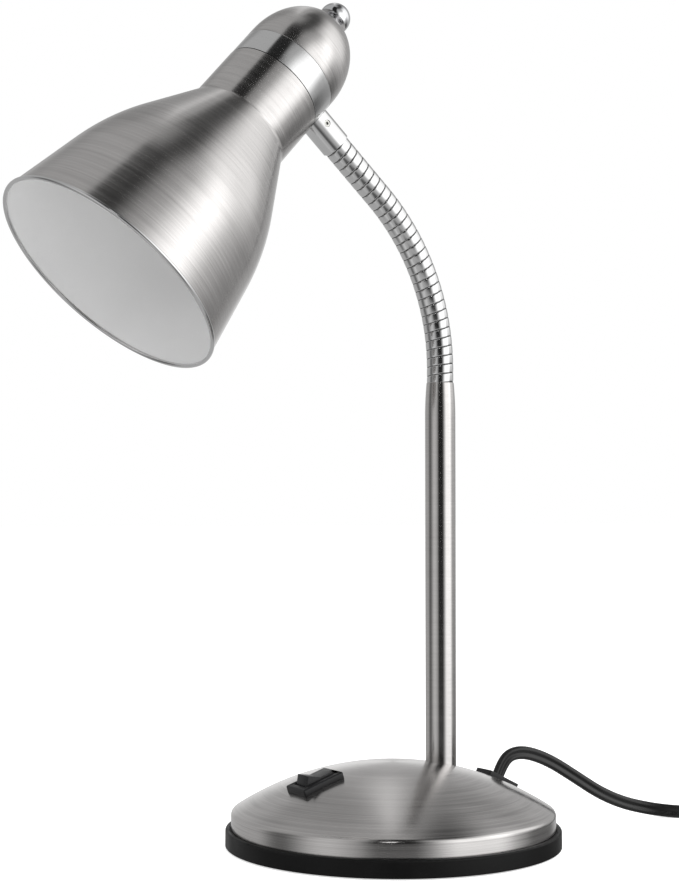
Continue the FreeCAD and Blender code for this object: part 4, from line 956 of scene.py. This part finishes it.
NODE_MATERIALS = {
    "base_tray": BLACK_RING, "base_pad": FOAM, "ballast_weight": IRON, "tray_screws": ZINC, "foot_bolt": ZINC,
    "foot_washer": ZINC, "pole_foot_plug": ZINC, "pole_top_bush": ZINC, "pole_lead": SLEEVE,
    "splice_caps": SLEEVE, "inner_cord": CORD_BLACK, "switch_leads": SLEEVE, "rocker_plunger": BRASS,
    "plunger_spring": ZINC, "contact_lever": BRASS, "switch_terminals": BRASS,
    "neck_ferrule": SATIN_CHROME, "ferrule_set_screw": ZINC,
    "ferrule_lock_nut": ZINC, "polished_band": BAND_METAL, "finial_stud": ZINC, "socket_bracket": ZINC,
    "socket_body": PHENOLIC, "socket_shell": BRASS, "socket_contact": BRASS, "socket_screws": ZINC,
    "head_lead": SLEEVE, "plug_body": BLACK_SWITCH, "plug_blades": BRASS,
}


def dress_nodes():
    """Give the CAD nodes that stay in view their finish."""
    materials = dict(NODE_MATERIALS)
    for i in range(1, NECK_LINKS + 1):
        materials["neck_lead_%02d" % i] = SLEEVE
    for name, material in materials.items():
        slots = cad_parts[name].material_slots
        for slot in slots:
            slot.link = "OBJECT"
            slot.material = material


# Floor, tent and lights

def add_floor():
    """White floor that keeps the lamp's shadow."""
    bm = bmesh.new()
    bmesh.ops.create_grid(bm, x_segments=1, y_segments=1, size=FLOOR_HALF_M)
    mesh = bpy.data.meshes.new("floor")
    bm.to_mesh(mesh)
    bm.free()
    nodes = Nodes("floor_white")
    white = nodes.add("BsdfDiffuse")
    white.inputs["Color"].default_value = rgba(0.86, 0.86, 0.86)
    glow = nodes.add("Emission")
    path = nodes.add("LightPath")
    seen = nodes.math("MAXIMUM", path.outputs["Is Camera Ray"], path.outputs["Is Transmission Ray"])
    nodes.link(nodes.math("MULTIPLY", seen, FLOOR_GLOW), glow.inputs["Strength"])
    both = nodes.add("AddShader")
    nodes.link(white.outputs[0], both.inputs[0])
    nodes.link(glow.outputs[0], both.inputs[1])
    nodes.link(both.outputs[0], nodes.output.inputs["Surface"])
    floor = new_object("floor", mesh, [nodes.material])
    floor.visible_glossy = False


def add_tent():
    """Surround that only reflections see: soft bright panels and a dark gap at the camera."""
    bm = bmesh.new()
    bmesh.ops.create_uvsphere(bm, u_segments=64, v_segments=32, radius=TENT_R_M)
    mesh = bpy.data.meshes.new("tent")
    bm.to_mesh(mesh)
    bm.free()
    nodes = Nodes("tent_panels")
    direction = nodes.vector("NORMALIZE", nodes.place())
    split = nodes.add("SeparateXYZ")
    nodes.link(direction, split.inputs[0])
    x, y, z = split.outputs
    azimuth = nodes.math("DEGREES", nodes.math("ARCTAN2", x, nodes.math("MULTIPLY", y, -1)))
    height = nodes.math("DEGREES", nodes.math("ARCSINE", z))
    total = None
    for centre, half_width, middle, half_height, edge, strength in PANELS:
        turn = nodes.math("SUBTRACT", azimuth, centre)
        turn = nodes.math("ABSOLUTE", nodes.math("WRAP", turn, 180, -180))
        wide = nodes.spread(turn, 1.0, 0.0, max(half_width - edge, 0), half_width + edge, smooth=True)
        rise = nodes.math("ABSOLUTE", nodes.math("SUBTRACT", height, middle))
        tall = nodes.spread(rise, 1.0, 0.0, max(half_height - edge, 0), half_height + edge, smooth=True)
        part = nodes.math("MULTIPLY", nodes.math("MULTIPLY", wide, tall), strength)
        total = part if total is None else nodes.math("ADD", total, part)
    light = nodes.math("MAXIMUM", nodes.math("ADD", total, TENT_BASE), 0.02)
    glow = nodes.add("Emission")
    nodes.link(light, glow.inputs["Strength"])
    nodes.link(glow.outputs[0], nodes.output.inputs["Surface"])
    tent = new_object("tent", mesh, [nodes.material])
    tent.rotation_euler = (0, 0, math.radians(CAMERA_AZIMUTH))
    tent.visible_camera = False
    tent.visible_diffuse = False
    tent.visible_shadow = False
    tent.visible_transmission = False


def add_light(name, azimuth, height, distance, side, power):
    """Square area light at an azimuth from the camera and a height angle, aimed at the lamp."""
    data = bpy.data.lights.new(name, "AREA")
    data.shape = "RECTANGLE"
    data.size = side
    data.size_y = side
    data.energy = power
    light = bpy.data.objects.new(name, data)
    bpy.context.scene.collection.objects.link(light)
    turn = math.radians(CAMERA_AZIMUTH - 90 + azimuth)
    rise = math.radians(height)
    away = Vector((math.cos(turn) * math.cos(rise), math.sin(turn) * math.cos(rise), math.sin(rise)))
    light.location = mm(0, 0, 180) + away * distance
    light.rotation_euler = away.to_track_quat("Z", "Y").to_euler()
    light.visible_glossy = False
    light.visible_camera = False


def add_world():
    world = bpy.data.worlds.new("studio")
    bpy.context.scene.world = world
    world.use_nodes = True
    tree = world.node_tree
    tree.nodes.clear()
    output = tree.nodes.new("ShaderNodeOutputWorld")
    background = tree.nodes.new("ShaderNodeBackground")
    background.inputs["Color"].default_value = rgba(1, 1, 1)
    path = tree.nodes.new("ShaderNodeLightPath")
    seen = tree.nodes.new("ShaderNodeMath")
    seen.operation = "MAXIMUM"
    tree.links.new(path.outputs["Is Camera Ray"], seen.inputs[0])
    tree.links.new(path.outputs["Is Glossy Ray"], seen.inputs[1])
    also = tree.nodes.new("ShaderNodeMath")
    also.operation = "MAXIMUM"
    tree.links.new(seen.outputs[0], also.inputs[0])
    tree.links.new(path.outputs["Is Transmission Ray"], also.inputs[1])
    level = tree.nodes.new("ShaderNodeMapRange")
    level.inputs["To Min"].default_value = WORLD_FILL
    level.inputs["To Max"].default_value = 1.0
    tree.links.new(also.outputs[0], level.inputs["Value"])
    tree.links.new(level.outputs["Result"], background.inputs["Strength"])
    tree.links.new(background.outputs[0], output.inputs["Surface"])


def add_studio():
    add_floor()
    add_tent()
    add_world()
    for light in LIGHTS:
        add_light(*light)
    bpy.context.scene.view_settings.view_transform = "Standard"


add_camera()
CORD, CORD_PATH, CORD_LENGTH = add_cord()
add_neck()
add_shade()
add_band()
add_cap()
add_finial()
add_cover()
add_ring()
add_pole()
add_switch()
add_bushing()
dress_nodes()
add_studio()
